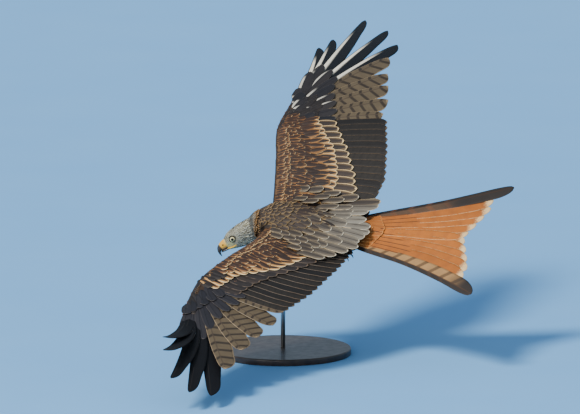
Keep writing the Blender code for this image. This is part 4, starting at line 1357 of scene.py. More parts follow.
def rod_rings(path, radii, sides):
    """Rings round a path, closed to a small round cap at each end."""
    path, radii = np.asarray(path, float), np.asarray(radii, float)
    tangents, across, over = path_frames(path)
    angle = ring_angles(sides)
    cosine, sine = np.cos(angle)[None, :, None], np.sin(angle)[None, :, None]
    circle = cosine * across[:, None] + sine * over[:, None]
    rings = path[:, None] + circle * radii[:, None, None]

    def cap(end, shift, share):
        return path[end] + tangents[end] * radii[end] * shift + circle[end] * radii[end] * share

    first = [cap(0, -0.72, 0.45), cap(0, -0.4, 0.8)]
    last = [cap(-1, 0.4, 0.8), cap(-1, 0.72, 0.45)]
    return np.concatenate([first, rings, last])


def curve_through(points, count):
    """A smooth path through points."""
    points = np.asarray(points, float)
    along = np.linspace(0, len(points) - 1, count)
    stops = np.arange(len(points))
    return np.stack([smooth_curve(list(zip(stops, points[:, i])), along) for i in range(3)], axis=-1)


def thigh_surface(side):
    table = np.array(THIGH, float) * (1, side, 1, 1)

    def surface(t, angle):
        centre = np.stack([np.interp(t, range(4), table[:, i]) for i in range(3)], axis=-1)
        radius = np.interp(t, range(4), table[:, 3])
        back = unit(np.array((-1.0, 0.0, -0.28)))
        across = np.array((0.0, float(side), 0.0))
        over = np.cross(back, across)
        beside, above = np.cos(angle) * radius, np.sin(angle) * radius
        return centre + beside[:, None] * across + above[:, None] * over

    return surface


def make_legs():
    for side, name in ((1, "left"), (-1, "right")):
        surface = thigh_surface(side)
        t, angle = staggered(
            0.2, 2.95, lambda a: 0.2, lambda a: (0.0, math.tau),
            lambda a: 5.4 / float(np.interp(a, range(4), (17, 16, 11, 7))),
        )
        here = surface(t, angle)
        fore = unit(surface(t - 0.05, angle) - surface(t + 0.05, angle))
        out = unit(here - surface(t, angle + math.pi))
        length = RNG.uniform(13, 19, len(t))
        place_piece(lay_coat(
            f"thigh_feathers_{name}", here, out, -fore, length * 0.5, length, noise_tone(len(t)),
            np.column_stack([t / 3, angle / math.tau]), "body", "thigh", 5.0, 0.5,
        ))
        ball = np.array(BALL_OF_FOOT) * (1, side, 1)
        ankle = np.array(ANKLE) * (1, side, 1)
        pieces = []
        path = curve_through([ankle, (ankle + ball) / 2, ball], 26)
        ripple = 0.12 * np.sin(np.arange(26) * 2.4)
        radii = smooth_curve(((0, 4.4), (0.5, 3.9), (1, 4.6)), np.linspace(0, 1, 26)) + ripple
        pieces.append(lofted("shank", to_world(rod_rings(path, radii, 20)), FINISH["leg_skin"]))
        for n, (spread, length) in enumerate(TOES):
            along = unit(np.array((-math.cos(spread), math.sin(spread) * side, -0.05)))
            start = ball + along
            knuckle = start + along * length * 0.55 - (0, 0, KNUCKLE_DROP)
            end = start + along * length - (0, 0, TOE_DROP)
            path = curve_through([start, knuckle, end], 24)
            pads = 0.35 * np.sin(np.linspace(0, 1, 24) * math.pi * 6)
            radii = smooth_curve(((0, 3.5), (0.5, 3.0), (1, 2.4)), np.linspace(0, 1, 24)) + pads * 0.6
            pieces.append(lofted("toe", to_world(rod_rings(path, radii, 16)), FINISH["leg_skin"]))
            claw_along = unit(end - knuckle)
            root = end + claw_along * GAP
            hook = [root, root + claw_along * 5 + (0, 0, -3.0), root + claw_along * 7 + (0, 0, -9.5)]
            taper = smooth_curve(((0, 2.0), (0.5, 1.45), (1, 0.3)), np.linspace(0, 1, 16))
            rings = rod_rings(curve_through(hook, 16), taper, 14)
            claw = lofted(f"talon_{name}_{n + 1}", to_world(rings), FINISH["horn"])
            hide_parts(f"claw_{name}_{n + 1}")
            place_piece(claw)
        foot = joined(f"scaled_foot_{name}", pieces)
        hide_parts(f"foot_{name}")
        place_piece(foot)


# Eyes and bill

def profile_rings(table, count, sides):
    """Rings of the bill or cere: each lies across its own lean in the head's frame."""
    table = np.array(table, float)
    at = np.linspace(0, len(table) - 1, count)
    stops = np.arange(len(table))
    columns = [smooth_curve(list(zip(stops, table[:, i])), at) for i in range(6)]
    angle = ring_angles(sides)
    rings = []
    for x, z, half_width, top, bottom, lean in zip(*columns):
        tilt = math.radians(lean)
        up = np.array((math.sin(tilt), 0.0, math.cos(tilt)))
        across, height = oval_points(half_width, top, bottom, angle)
        rings.append(np.array((x, 0.0, z)) + np.outer(across, (0.0, 1.0, 0.0)) + np.outer(height, up))
    return to_world(from_head(np.array(rings)))


def make_bill():
    cere = lofted("soft_cere", profile_rings(CERE, 14, 40), FINISH["cere"])
    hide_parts("cere")
    upper = lofted("hooked_upper_bill", profile_rings(UPPER_BILL, 30, 36), FINISH["horn"])
    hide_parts("bill_upper")
    lower = lofted("lower_bill", profile_rings(LOWER_BILL, 16, 32), FINISH["horn"])
    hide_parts("bill_lower")
    colour_cere(cere)
    place_piece(cere)
    place_piece(upper)
    place_piece(lower)
    ridges = []
    for side in (1, -1):
        path = curve_through(np.array(GAPE) * (1, side, 1), 16)
        radii = smooth_curve(((0, 0.9), (0.5, 1.6), (1, 1.5)), np.linspace(0, 1, 16))
        ridges.append(lofted("gape", to_world(from_head(rod_rings(path, radii, 12))), FINISH["gape"]))
    place_piece(joined("gape_edges", ridges))
    for side, name in ((1, "left"), (-1, "right")):
        pit = ellipsoid(
            f"nostril_{name}", np.array(NOSTRIL) * (1, side, 1), NOSTRIL_RADII, 20, 12, FINISH["nostril"],
        )
        place_piece(pit)


def hoop(ring, radius, sides):
    """Rings of a closed tube round a closed path."""
    forward = unit(np.roll(ring, -1, axis=0) - np.roll(ring, 1, axis=0))
    axis = unit(np.cross(ring[1] - ring[0], ring[5] - ring[0]))
    over = unit(np.cross(forward, axis))
    angle = ring_angles(sides)
    cosine, sine = np.cos(angle)[None, :, None], np.sin(angle)[None, :, None]
    return ring[:, None] + radius * (cosine * axis + sine * over[:, None])


def lofted_hoop(name, rings, material):
    count, sides = rings.shape[:2]
    faces = []
    for r in range(count):
        for j in range(sides):
            a, b = r * sides + j, r * sides + (j + 1) % sides
            c, d = (r + 1) % count * sides + (j + 1) % sides, (r + 1) % count * sides + j
            faces.append((a, b, c, d))
    return face_out(mesh_object(name, rings.reshape(-1, 3), faces, material))


def ellipsoid(name, centre, radii, segments, rings, material):
    """A closed ball in the head's frame, its poles along the frame's y axis."""
    angle = ring_angles(segments)
    rows = []
    for fall in np.linspace(0.02, 0.98, rings):
        turn = fall * math.pi
        wide, high = math.sin(turn), 0 * angle + math.cos(turn)
        circle = np.stack([np.cos(angle) * wide, high, np.sin(angle) * wide], axis=-1)
        rows.append(np.asarray(centre) + circle * radii)
    return lofted(name, to_world(from_head(np.array(rows))), material)


def make_eyes():
    for side, name in ((1, "left"), (-1, "right")):
        centre = np.array(EYE) * (1, side, 1)
        axis = unit(np.array(EYE_OUTWARD) * (1, side, 1))
        ahead = unit(np.cross((0, 0, 1), axis) * side)
        over = np.cross(axis, ahead)
        rows = []
        angle = ring_angles(48)
        for fall in np.linspace(0.004, 0.996, 40):
            turn = fall * math.pi
            circle = np.outer(np.cos(angle), ahead) + np.outer(np.sin(angle), over)
            bulge = EYE_RADIUS * (0.985 + 0.015 * math.exp(-((turn / 0.75) ** 2)))
            rows.append(centre + (circle * math.sin(turn) + axis * math.cos(turn)) * bulge)
        eye = lofted(f"eyeball_{name}", to_world(from_head(np.array(rows))), FINISH["eye"])
        flat = bird_places(eye)[1] - centre
        radial = np.stack([flat @ ahead, flat @ over], axis=-1) / (2 * EYE_RADIUS) + 0.5
        facing = flat @ axis
        uv = eye.data.uv_layers.new(name="Iris")
        loops = np.empty(len(eye.data.loops), int)
        eye.data.loops.foreach_get("vertex_index", loops)
        places = np.where(facing[:, None] > 0, radial, 0.99)
        uv.data.foreach_set("uv", places[loops].ravel())
        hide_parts(f"eye_{name}")
        place_piece(eye)
        turn = ring_angles(40)
        rim = centre + axis * LID_OUT + np.outer(np.cos(turn) * LID_HALF_LENGTH, ahead)
        rim = rim + np.outer(np.sin(turn) * LID_HALF_HEIGHT, over)
        rings = to_world(from_head(hoop(rim, LID_RADIUS, 10)))
        lid = lofted_hoop(f"eyelid_{name}", rings, FINISH["eyelid"])
        place_piece(lid)


# Skin

def sunk_rings(surface, places, step):
    """Rings that lie under one of the body's surfaces, at places along it."""
    angle = ring_angles(48)
    rings = []
    for place in places:
        here, out, _ = surface_frames(surface, np.full_like(angle, place), angle, step, 0.02)
        rings.append(here - out * SKIN_DEPTH)
    return np.array(rings)


def arm_rings(wing):
    """Rings that lie under the surface of a wing's arm and hand."""
    share = np.array((0.0, 0.015, 0.05, 0.12, 0.28, 0.45, 0.62, 0.8, 0.97))
    rings = []
    for sigma in np.linspace(18, 388, 60):
        front, rear = wing.front(sigma) - SKIN_DEPTH, wing.rear(sigma) + SKIN_DEPTH
        x = front + (rear - front) * share
        s = np.full_like(x, sigma)
        base, normal = wing.surface(s, x), wing.normal(s, x)
        upper = np.clip(wing.skin_height(s, x, True) - SKIN_DEPTH, 0.5, None)
        lower = np.clip(wing.skin_height(s, x, False) + SKIN_DEPTH, None, -0.5)
        upper[0], lower[0] = 0.3, -0.3
        top, bottom = base + normal * upper[:, None], base + normal * lower[:, None]
        rings.append(np.concatenate([top, bottom[::-1]]))
    return np.array(rings)


def make_skin():
    """One closed skin under all the feathers, in the place of the solids of flesh and plumage."""
    pieces = []
    for name, surface, start, end, count, step in (
        ("body_skin", body_surface, 59, -164, 50, 0.5),
        ("neck_skin", neck_surface, 0.97, 0.0, 16, 0.01),
        ("head_skin", head_surface, 26.0, -35.5, 40, 0.3),
    ):
        rings = sunk_rings(surface, np.linspace(start, end, count), step)
        pieces.append(lofted(name, to_world(rings), FINISH["skin"]))
    for wing in WING.values():
        pieces.append(lofted(f"wing_skin_{wing.side}", to_world(arm_rings(wing)), FINISH["skin"]))
    for side in (1, -1):
        path = [(x, side * y, z) for x, y, z, _ in THIGH]
        radii = [radius - SKIN_DEPTH for _, _, _, radius in THIGH]
        fine = curve_through(path, 20)
        thin = smooth_curve(list(zip(range(4), radii)), np.linspace(0, 3, 20))
        pieces.append(lofted("thigh_skin", to_world(rod_rings(fine, thin, 28)), FINISH["skin"]))
    skin = joined("skin", pieces)
    merge = skin.modifiers.new("one_surface", "REMESH")
    merge.mode = "VOXEL"
    merge.voxel_size = SKIN_VOXEL * MM
    merge.use_smooth_shade = True
    skin.data = evaluated(skin)
    skin.modifiers.clear()
    skin.data.materials.clear()
    skin.data.materials.append(FINISH["skin"])
    colour_skin(skin)
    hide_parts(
        "head", "neck", "torso", "tail", "wing_left", "wing_right", "leg_left", "leg_right"
    )
    place_piece(skin)


def bird_places(obj):
    """The places of a mesh's points in the bird's frame and in the head's."""
    places = np.empty(len(obj.data.vertices) * 3)
    obj.data.vertices.foreach_get("co", places)
    bird = (places.reshape(-1, 3) / MM - (0, 0, CHEST_HEIGHT)) @ POSE
    return bird, (bird - HEAD_CENTRE) @ HEAD_TURN


def set_ground(obj, colour):
    layer = obj.data.attributes.new("ground", "FLOAT_COLOR", "POINT")
    layer.data.foreach_set("color", np.column_stack([colour, np.ones(len(colour))]).ravel())


def colour_cere(cere):
    """Yellow round the nostril, cream towards the face and tan along the lower edge."""
    head = bird_places(cere)[1]
    yellow, cream, tan = (
        np.array(srgb(*c)[:3]) for c in ((228, 170, 52), (200, 182, 112), (206, 150, 104))
    )
    back = np.clip((29.0 - head[:, 0]) / 1.6, 0, 1)[:, None]
    low = np.clip((-8.5 - head[:, 2]) / 3.0, 0, 1)[:, None]
    colour = yellow * (1 - low) + tan * low
    set_ground(cere, colour * (1 - back) + cream * back)


def colour_skin(skin):
    """The plumage's ground colours, by place, so that no gap between feathers shows another."""
    bird, head = bird_places(skin)
    mantle, belly, neck, grey, lores = (np.array(srgb(*c)[:3]) for c in (
        (58, 46, 38), (112, 70, 42), (84, 62, 46), (118, 116, 104), (206, 196, 140),
    ))
    up = np.clip((bird[:, 2] - 2) / 14 + 0.5, 0, 1)[:, None]
    out = np.clip((np.abs(bird[:, 1]) - 60) / 30, 0, 1)[:, None]
    up = np.maximum(up, out * 0.7)
    colour = belly * (1 - up) + mantle * up
    at_neck = np.clip((bird[:, 0] - 45) / 20, 0, 1)[:, None] * (1 - out)
    colour = colour * (1 - at_neck) + neck * at_neck
    at_head = np.clip((head[:, 0] + 40) / 14, 0, 1)[:, None] * (1 - out)
    colour = colour * (1 - at_head) + grey * at_head
    at_lores = (np.clip((head[:, 0] - 13) / 6, 0, 1) * np.clip((-1 - head[:, 2]) / 3, 0.1, 1))[:, None]
    at_lores = at_lores * (1 - out)
    set_ground(skin, colour * (1 - at_lores) + lores * at_lores)


# Stand

BASE_RADIUS, BASE_THICKNESS, BASE_BEVEL = 150.0, 14.0, 3.0
ROD_RADIUS = 5.0


def turned_form(name, profile, sides, material):
    """A closed lathe form about the vertical axis, from (radius, height) points."""
    angle = ring_angles(sides)
    rings = [
        np.stack([np.cos(angle) * r, np.sin(angle) * r, 0 * angle + z], axis=-1) for r, z in profile
    ]
    return lofted(name, np.array(rings) * MM, material)


def make_stand():
    r, top, edge = BASE_RADIUS, BASE_THICKNESS, BASE_BEVEL
    rounded = [(r - edge + edge * math.sin(a), top - edge + edge * math.cos(a))
               for a in np.linspace(math.pi / 2, 0, 9)]
    profile = [(0.02, 0.0), (r - 0.8, 0.0), (r, 0.8), *rounded, (r - 6.0, top), (0.02, top)]
    base = turned_form("turned_base", profile, 160, FINISH["stand_base"])
    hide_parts("stand_base")
    place_piece(base)
    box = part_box("stand_rod")
    low, high = box[0][2] / MM, box[1][2] / MM
    rod = turned_form(
        "polished_rod",
        [(0.02, low), (ROD_RADIUS - 0.4, low), (ROD_RADIUS, low + 0.4), (ROD_RADIUS, high - 0.4),
         (ROD_RADIUS - 0.4, high), (0.02, high)],
        64, FINISH["stand_rod"],
    )
    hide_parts("stand_rod")
    place_piece(rod)


# Finishes

def skin_finish(name, roughness, specular, dark, share, bump):
    """Skin in the ground colours of its mesh, with uneven darker spots."""
    material, g, shader = new_material(name, roughness, specular)
    ground = g.put("ShaderNodeAttribute", attribute_name="ground").outputs["Color"]
    broad, fine = g.group(MOTTLING, Place=g.put("ShaderNodeTexCoord").outputs["Object"])
    g.feed(shader["Base Color"], g.mix(g.math("MULTIPLY", fine, share), ground, dark))
    add_bump(g, shader, g.math("ADD", broad, fine), 0.5, bump)
    return material


def mottled(name, light, dark, roughness, specular, scale=260.0, bump=0.3, distance=0.0003, coat=0.0):
    """A smooth hard or leathery finish with uneven colour and a fine grain."""
    material, g, shader = new_material(name, roughness, specular)
    place = g.put("ShaderNodeTexCoord").outputs["Object"]
    broad, fine = g.group(MOTTLING, Place=place)
    grain = g.noise(place, scale, 4.0, 0.6)
    g.feed(shader["Base Color"], g.mix(g.step(g.math("ADD", broad, grain), 0.75, 1.3), light, dark))
    g.feed(shader["Roughness"], g.math("MULTIPLY_ADD", grain, 0.25, roughness - 0.12))
    shader["Coat Weight"].default_value = coat
    add_bump(g, shader, g.math("ADD", grain, g.math("MULTIPLY", fine, 0.5)), bump, distance)
    return material


def scaled_skin(name, light, dark):
    """Small plates with darker joints between them, as on a foot."""
    material, g, shader = new_material(name, 0.5, 0.35)
    place = g.put("ShaderNodeTexCoord").outputs["Object"]
    cells = g.put("ShaderNodeTexVoronoi", feature="DISTANCE_TO_EDGE")
    g.feed(cells.inputs["Vector"], place)
    cells.inputs["Scale"].default_value = 520.0
    joint = g.step(cells.outputs["Distance"], 0.02, 0.16)
    broad, fine = g.group(MOTTLING, Place=place)
    colour = g.mix(broad, light, dark)
    g.feed(shader["Base Color"], g.mix(joint, g.mix(0.55, colour, srgb(70, 48, 20)), colour))
    g.feed(shader["Roughness"], g.math("MULTIPLY_ADD", fine, 0.3, 0.35))
    add_bump(g, shader, joint, 0.6, 0.0004)
    return material


def eye_finish():
    """A dark round pupil, a pale iris with fine rays, and a dark rim."""
    material, g, shader = new_material("eye", 0.12, 0.12)
    place = g.put("ShaderNodeUVMap", uv_map="Iris").outputs[0]
    u, v, _ = g.split(place)
    u, v = g.math("SUBTRACT", u, 0.5), g.math("SUBTRACT", v, 0.5)
    squares = g.math("ADD", g.math("MULTIPLY", u, u), g.math("MULTIPLY", v, v))
    radius = g.math("MULTIPLY", g.math("SQRT", squares), 2 * EYE_RADIUS)
    turn = g.math("ARCTAN2", v, u)
    rays = g.math("MULTIPLY_ADD", g.math("SINE", g.math("MULTIPLY", turn, 41.0)), 0.5, 0.5)
    iris = g.mix(g.math("MULTIPLY", rays, 0.35), srgb(228, 218, 168), srgb(196, 178, 116))
    iris = g.mix(g.step(radius, IRIS_RADIUS - 0.9, IRIS_RADIUS + 0.2), iris, srgb(96, 80, 40))
    colour = g.mix(g.step(radius, PUPIL_RADIUS - 0.15, PUPIL_RADIUS + 0.15), srgb(8, 8, 9), iris)
    colour = g.mix(g.step(radius, IRIS_RADIUS - 0.1, IRIS_RADIUS + 0.35), colour, srgb(20, 16, 12))
    g.feed(shader["Base Color"], colour)
    shader["Coat Weight"].default_value = 0.15
    shader["Coat Roughness"].default_value = 0.03
    return material


def make_finishes():
    dark_tip = srgb(40, 34, 34)
    pale = srgb(205, 195, 180)
    inner = dict(
        web=srgb(88, 76, 58), fringe=srgb(160, 136, 104), side_fringe=0.035, tip_fringe=0.02,
        bar=srgb(38, 31, 26), bars=9.0, bar_share=0.85, shaft=srgb(70, 58, 46), shaft_width=0.035,
        under=srgb(150, 142, 130), under_tip=srgb(70, 62, 56), under_tip_from=0.8, barbs=170.0,
    )
    return {
        "fingers_left": plumage(
            "black_fingers_left", srgb(9, 9, 13), srgb(14, 13, 16), shaft=srgb(34, 31, 30), shaft_width=0.03,
            under=pale, under_tip=dark_tip, under_tip_from=0.45, barbs=220.0, roughness=0.6, specular=0.15,
        ),
        # The right wing's fingers are black; their pale stripes are painted sheen, light glinting along the
        # vanes
        "fingers_right": plumage(
            "black_fingers_sheen_right", srgb(11, 11, 14), srgb(11, 11, 14), sheen_stripe=srgb(236, 228, 208),
            sheen_across=(0.07, 0.62), under=pale, under_tip=dark_tip, under_tip_from=0.45, barbs=220.0,
            roughness=0.5,
        ),
        "inner_primaries_left": plumage("inner_primaries_left", **inner),
        "inner_primaries_right": plumage("inner_primaries_right", **inner),
        "secondaries": plumage(
            "secondaries", srgb(22, 20, 20), srgb(50, 44, 37), fringe=srgb(112, 90, 66), side_fringe=0.03,
            tip_fringe=0.02, bar=srgb(24, 22, 21), bars=11.0, bar_share=0.4, shaft=srgb(30, 26, 23),
            shaft_width=0.035, under=srgb(122, 112, 102), under_tip=srgb(84, 74, 66), under_tip_from=0.75,
            barbs=120.0,
        ),
        "greater_left": plumage(
            "greater_coverts_left", srgb(38, 35, 35), srgb(52, 44, 40), fringe=srgb(116, 96, 78),
            side_fringe=0.04, tip_fringe=0.05, shaft=srgb(30, 27, 26), shaft_width=0.04,
            under=srgb(120, 108, 96),
        ),
        "greater_right": plumage(
            "greater_coverts_right", srgb(96, 78, 56), srgb(76, 62, 48), fringe=srgb(204, 166, 110),
            fringe_far=srgb(226, 194, 140), side_fringe=0.11, tip_fringe=0.05, core=srgb(44, 37, 34),
            core_far=srgb(58, 47, 41), core_width=0.4, under=srgb(120, 108, 96),
        ),
        "median_left": plumage(
            "median_coverts_left", srgb(190, 142, 84), srgb(178, 132, 80), fringe=srgb(214, 168, 106),
            fringe_far=srgb(242, 220, 172), side_fringe=0.13, tip_fringe=0.03, core=srgb(44, 36, 33),
        ),
        "median_right": plumage(
            "median_coverts_right", srgb(176, 132, 78), srgb(160, 118, 72), fringe=srgb(206, 162, 102),
            fringe_far=srgb(236, 210, 158), side_fringe=0.13, tip_fringe=0.04, core=srgb(44, 36, 33),
            core_width=0.34,
        ),
        "primary_coverts_left": plumage(
            "primary_coverts_left", srgb(30, 30, 36), srgb(42, 40, 44), fringe=srgb(70, 66, 66),
            side_fringe=0.03, tip_fringe=0.03, shaft=srgb(24, 24, 28), under=srgb(110, 102, 94),
        ),
        # These coverts are dark; the pale stripes on them are painted sheen, light glinting along the vanes
        "primary_coverts_right": plumage(
            "primary_coverts_right", srgb(26, 26, 32), srgb(44, 40, 40), fringe=srgb(84, 78, 72),
            side_fringe=0.03, tip_fringe=0.03, sheen_stripe=srgb(196, 190, 176), sheen_across=(0.06, 0.5),
            shaft=srgb(24, 24, 28), under=srgb(110, 102, 94),
        ),
        "lesser_scaly": plumage(
            "lesser_coverts", srgb(128, 86, 50), srgb(160, 116, 68), fringe=srgb(190, 138, 82),
            fringe_far=srgb(238, 208, 154), side_fringe=0.1, tip_fringe=0.05, core=srgb(56, 40, 32),
            core_far=srgb(44, 36, 33), core_width=0.36, barbs=20.0,
        ),
        "lesser_dark": plumage(
            "dark_lesser_coverts", srgb(42, 37, 35), srgb(31, 30, 33), fringe=srgb(64, 56, 50),
            side_fringe=0.12, tip_fringe=0.1, shaft=srgb(30, 26, 24), shaft_width=0.06, barbs=20.0,
        ),
        "marginal": plumage(
            "marginal_coverts", srgb(104, 76, 50), srgb(34, 32, 34), fringe=srgb(104, 80, 56),
            side_fringe=0.25, tip_fringe=0.2, barbs=16.0,
        ),
        "under_covert": plumage(
            "under_wing_coverts", srgb(140, 84, 50), srgb(104, 62, 40), fringe=srgb(176, 124, 84),
            side_fringe=0.16, tip_fringe=0.12, shaft=srgb(60, 38, 26), shaft_width=0.1, barbs=20.0,
        ),
        "mantle": plumage(
            "mantle", srgb(92, 76, 56), srgb(74, 62, 48), fringe=srgb(164, 132, 88), side_fringe=0.1,
            tip_fringe=0.05, core=srgb(54, 43, 38), core_far=srgb(44, 37, 34), core_width=0.34, barbs=24.0,
        ),
        "scapular": plumage(
            "scapulars", srgb(92, 78, 60), srgb(132, 126, 114), fringe=srgb(212, 182, 136),
            fringe_far=srgb(216, 204, 178), side_fringe=0.045, tip_fringe=0.04, core=srgb(46, 38, 34),
            core_far=srgb(122, 115, 103), core_width=0.4, shaft=srgb(48, 42, 38), shaft_width=0.045,
        ),
        "neck": plumage(
            "neck", srgb(172, 168, 152), srgb(144, 110, 70), core=srgb(138, 134, 120),
            core_far=srgb(44, 37, 31), barbs=14.0,
        ),
        "head": plumage(
            "head", srgb(186, 184, 168), srgb(214, 206, 150), core=srgb(66, 62, 53),
            core_far=srgb(178, 170, 120), core_width=0.23, barbs=10.0,
        ),
        "breast": plumage(
            "breast", srgb(158, 96, 56), srgb(132, 76, 44), shaft=srgb(64, 42, 30), shaft_width=0.16,
            fringe=srgb(186, 128, 82), side_fringe=0.12, tip_fringe=0.1, barbs=16.0,
        ),
        "rump": plumage(
            "rump", srgb(120, 78, 48), srgb(92, 62, 42), shaft=srgb(50, 36, 28), shaft_width=0.12,
            fringe=srgb(176, 124, 82), side_fringe=0.14, tip_fringe=0.1, barbs=18.0,
        ),
        "thigh": plumage(
            "thigh", srgb(168, 100, 54), srgb(146, 84, 46), shaft=srgb(86, 54, 34), shaft_width=0.1,
            barbs=16.0,
        ),
        "tail": plumage(
            "tail", srgb(178, 102, 38), srgb(160, 90, 34), fringe=srgb(226, 192, 140), side_fringe=0.014,
            tip_fringe=0.07, shaft=srgb(70, 46, 30), shaft_width=0.045, bar=srgb(140, 80, 42), bars=9.0,
            bar_share=0.25, under=srgb(196, 140, 92), under_tip=srgb(190, 140, 96), barbs=180.0,
        ),
        "tail_outer_left": plumage(
            "tail_outer_left", srgb(50, 42, 36), srgb(44, 38, 33), outer=srgb(158, 120, 76),
            tip=srgb(46, 40, 36), tip_from=0.84, bar=srgb(62, 46, 34), bars=11.0, bar_share=0.7,
            shaft=srgb(70, 50, 36), under=srgb(170, 140, 110), under_tip=srgb(110, 86, 68), barbs=180.0,
        ),
        "tail_outer_right": plumage(
            "tail_outer_right", srgb(36, 31, 29), srgb(32, 28, 27), outer=srgb(82, 62, 46),
            tip=srgb(44, 38, 34), tip_from=0.6, bar=srgb(110, 68, 42), bars=9.0, bar_share=0.4,
            shaft=srgb(60, 42, 30), under=srgb(170, 140, 110), under_tip=srgb(100, 78, 62), barbs=180.0,
        ),
        "tail_covert": plumage(
            "tail_coverts", srgb(174, 102, 44), srgb(154, 88, 38), fringe=srgb(196, 128, 66),
            side_fringe=0.06, tip_fringe=0.04, shaft=srgb(52, 36, 28), shaft_width=0.07, barbs=70.0,
        ),
        "skin": skin_finish("down_and_skin", 0.8, 0.15, srgb(60, 46, 36), 0.45, 0.0008),
        "eye": eye_finish(),
        "cere": skin_finish("cere", 0.45, 0.4, srgb(150, 96, 36), 0.35, 0.0003),
        "gape": mottled("gape", srgb(226, 178, 44), srgb(206, 152, 40), 0.45, 0.4, 300.0, 0.2, 0.0002),
        "eyelid": mottled("eyelid", srgb(62, 56, 44), srgb(38, 34, 28), 0.5, 0.3, 600.0),
        "nostril": mottled("nostril", srgb(30, 22, 16), srgb(18, 14, 12), 0.8, 0.1, 600.0),
        "horn": mottled("horn", srgb(60, 52, 45), srgb(28, 26, 24), 0.4, 0.4, 160.0, 0.15, 0.0002, 0.1),
        "leg_skin": scaled_skin("leg_skin", srgb(222, 168, 56), srgb(196, 140, 44)),
        "stand_base": mottled(
            "stand_base", srgb(62, 50, 42), srgb(44, 35, 30), 0.4, 0.4, 60.0, 0.1, 0.0002, 0.2
        ),
        "stand_rod": brushed_metal(),
    }


def brushed_metal():
    material, g, shader = new_material("brushed_rod", 0.3, 0.5, 1.0)
    place = g.put("ShaderNodeTexCoord").outputs["Object"]
    x, y, z = g.split(place)
    stretched = g.put("ShaderNodeCombineXYZ")
    g.feed(stretched.inputs[0], x)
    g.feed(stretched.inputs[1], y)
    g.feed(stretched.inputs[2], g.math("MULTIPLY", z, 12.0))
    lines = g.noise(stretched.outputs[0], 500.0, 3.0, 0.6)
    g.feed(shader["Base Color"], g.mix(lines, srgb(150, 152, 155), srgb(190, 192, 194)))
    g.feed(shader["Roughness"], g.math("MULTIPLY_ADD", lines, 0.2, 0.2))
    add_bump(g, shader, lines, 0.1, 0.0001)
    return material


# Surroundings

FLOOR_RADIUS, FLOOR_SIDES, FLOOR_DROP = 40, 96, 0.0004
SKY, SKY_STRENGTH = (196, 220, 245), 0.6
# Lights: kind, power, size, place, aim and colour
LIGHTS = {
    "key": ("SUN", 3.8, 0.25, (-2.5, -3.0, 4.5), (0, 0, 0.3), (1.0, 0.96, 0.89)),
    "fill": ("AREA", 80.0, 2.5, (-1.5, -3.2, 0.5), (0, 0, 0.4), (1.0, 0.97, 0.92)),
}


def make_floor():
    """One pale sheet that is floor and far background at once."""
    material, g, shader = new_material("pale_floor", 0.9, 0.1)
    place = g.put("ShaderNodeTexCoord").outputs["Object"]
    colour = g.mix(g.noise(place, 3.0, 2.0), srgb(120, 182, 238), srgb(128, 188, 240))
    g.feed(shader["Base Color"], colour)
    angle = ring_angles(FLOOR_SIDES)
    rim = np.stack(
        [np.cos(angle) * FLOOR_RADIUS, np.sin(angle) * FLOOR_RADIUS, 0 * angle - FLOOR_DROP], axis=-1
    )
    floor = mesh_object("floor", rim, [tuple(range(FLOOR_SIDES))], material, smooth=False)


def make_light(name, kind, energy, size, place, aim, colour):
    light = bpy.data.lights.new(name, kind)
    light.energy = energy
    light.color = colour
    if kind == "AREA":
        light.shape = "DISK"
        light.size = size
    else:
        light.angle = size
    obj = bpy.data.objects.new(name, light)
    bpy.context.collection.objects.link(obj)
    obj.location = place
    obj.rotation_euler = (Vector(aim) - Vector(place)).to_track_quat("-Z", "Y").to_euler()


def make_camera():
    tilt = math.radians(CAMERA_ELEVATION)
    ahead = Vector((0.0, math.cos(tilt), -math.sin(tilt)))
    over = Vector((0.0, math.sin(tilt), math.cos(tilt)))
    step = MM_PER_PIXEL * MM
    aim = Vector((0.0, 0.0, CHEST_HEIGHT * MM))
    aim += Vector((1.0, 0.0, 0.0)) * ((IMAGE_WIDTH / 2 - CHEST_PIXEL[0]) * step)
    aim += over * ((CHEST_PIXEL[1] - IMAGE_HEIGHT / 2) * step)
    data = bpy.data.cameras.new("camera")
    data.sensor_width = SENSOR
    data.lens = SENSOR * CAMERA_DISTANCE / (IMAGE_WIDTH * step)
    data.clip_end = CAMERA_REACH
    camera = bpy.data.objects.new("camera", data)
    bpy.context.collection.objects.link(camera)
    camera.location = aim - ahead * CAMERA_DISTANCE
    camera.rotation_euler = ahead.to_track_quat("-Z", "Y").to_euler()
    bpy.context.scene.camera = camera


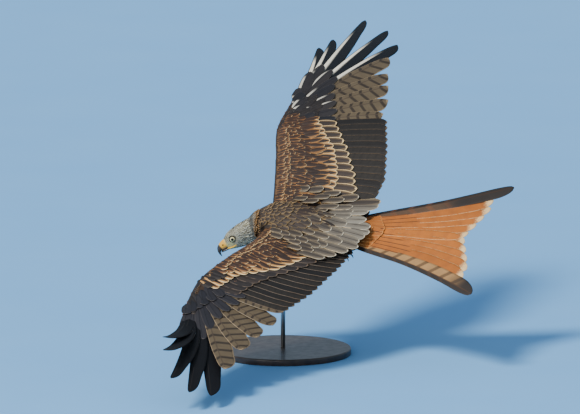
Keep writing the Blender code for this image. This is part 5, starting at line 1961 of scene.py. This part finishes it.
def make_surroundings():
    make_floor()
    make_camera()
    world = bpy.data.worlds.new("studio")
    world.use_nodes = True
    background = world.node_tree.nodes["Background"].inputs
    background["Color"].default_value = srgb(*SKY)
    background["Strength"].default_value = SKY_STRENGTH
    bpy.context.scene.world = world
    for name, light in LIGHTS.items():
        make_light(name, *light)


# Making of the bird

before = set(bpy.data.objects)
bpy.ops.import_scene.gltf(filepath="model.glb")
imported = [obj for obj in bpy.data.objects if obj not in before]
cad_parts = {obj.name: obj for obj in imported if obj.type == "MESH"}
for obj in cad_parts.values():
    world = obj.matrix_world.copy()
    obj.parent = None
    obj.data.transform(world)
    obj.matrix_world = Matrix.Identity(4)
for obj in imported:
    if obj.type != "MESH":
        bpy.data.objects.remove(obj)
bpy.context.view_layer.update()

MARKS = vane_marks()
MOTTLING = mottling()
LAY_FEATHERS = feather_tree()
FINISH = make_finishes()
FEATHER = {
    "covert": template("covert_template", (-1, -0.5, 0, 0.5, 1), 7, (0.35, 0.45, 0.5, 2.2), 0.06, 0.18),
    "body": template("body_template", (-1, 0, 1), 6, (0.4, 0.45, 0.45, 2.0), 0.1, 0.3),
    "lancet": template("lancet_template", (-1, 0, 1), 5, (0.5, 0.4, 0.2, 1.6), 0.1, 0.35),
}

make_surroundings()
make_stand()
make_skin()
for wing in WING.values():
    make_flight_feathers(wing)
    make_large_coverts(wing)
    make_small_coverts(wing)
    make_under_coverts(wing)
make_tail()
make_mantle()
make_scapulars()
# Towards the front the breast feathers stop below the left side, so the dark skin shows there as painted
# shade where the neck meets the left wing
body_patch(
    "breast_feathers", 57, -118,
    lambda x: (-math.pi - 0.45, np.interp(x, (0, 40), (0.45, -0.1))),
    lambda x: np.interp(x, (-120, -40, 60), (26, 23, 15)), "breast",
)
body_patch(
    "rump_feathers", -96, -163, lambda x: (0.45, math.pi - 0.45),
    lambda x: np.interp(x, (-163, -96), (24, 28)), "rump",
)
body_patch(
    "vent_feathers", -118, -163, lambda x: (-math.pi - 0.45, 0.45),
    lambda x: np.interp(x, (-163, -118), (24, 26)), "breast",
)
make_neck_coat()
make_head_coat()
make_legs()
make_bill()
make_eyes()
for feather in FEATHER.values():
    bpy.data.objects.remove(feather)
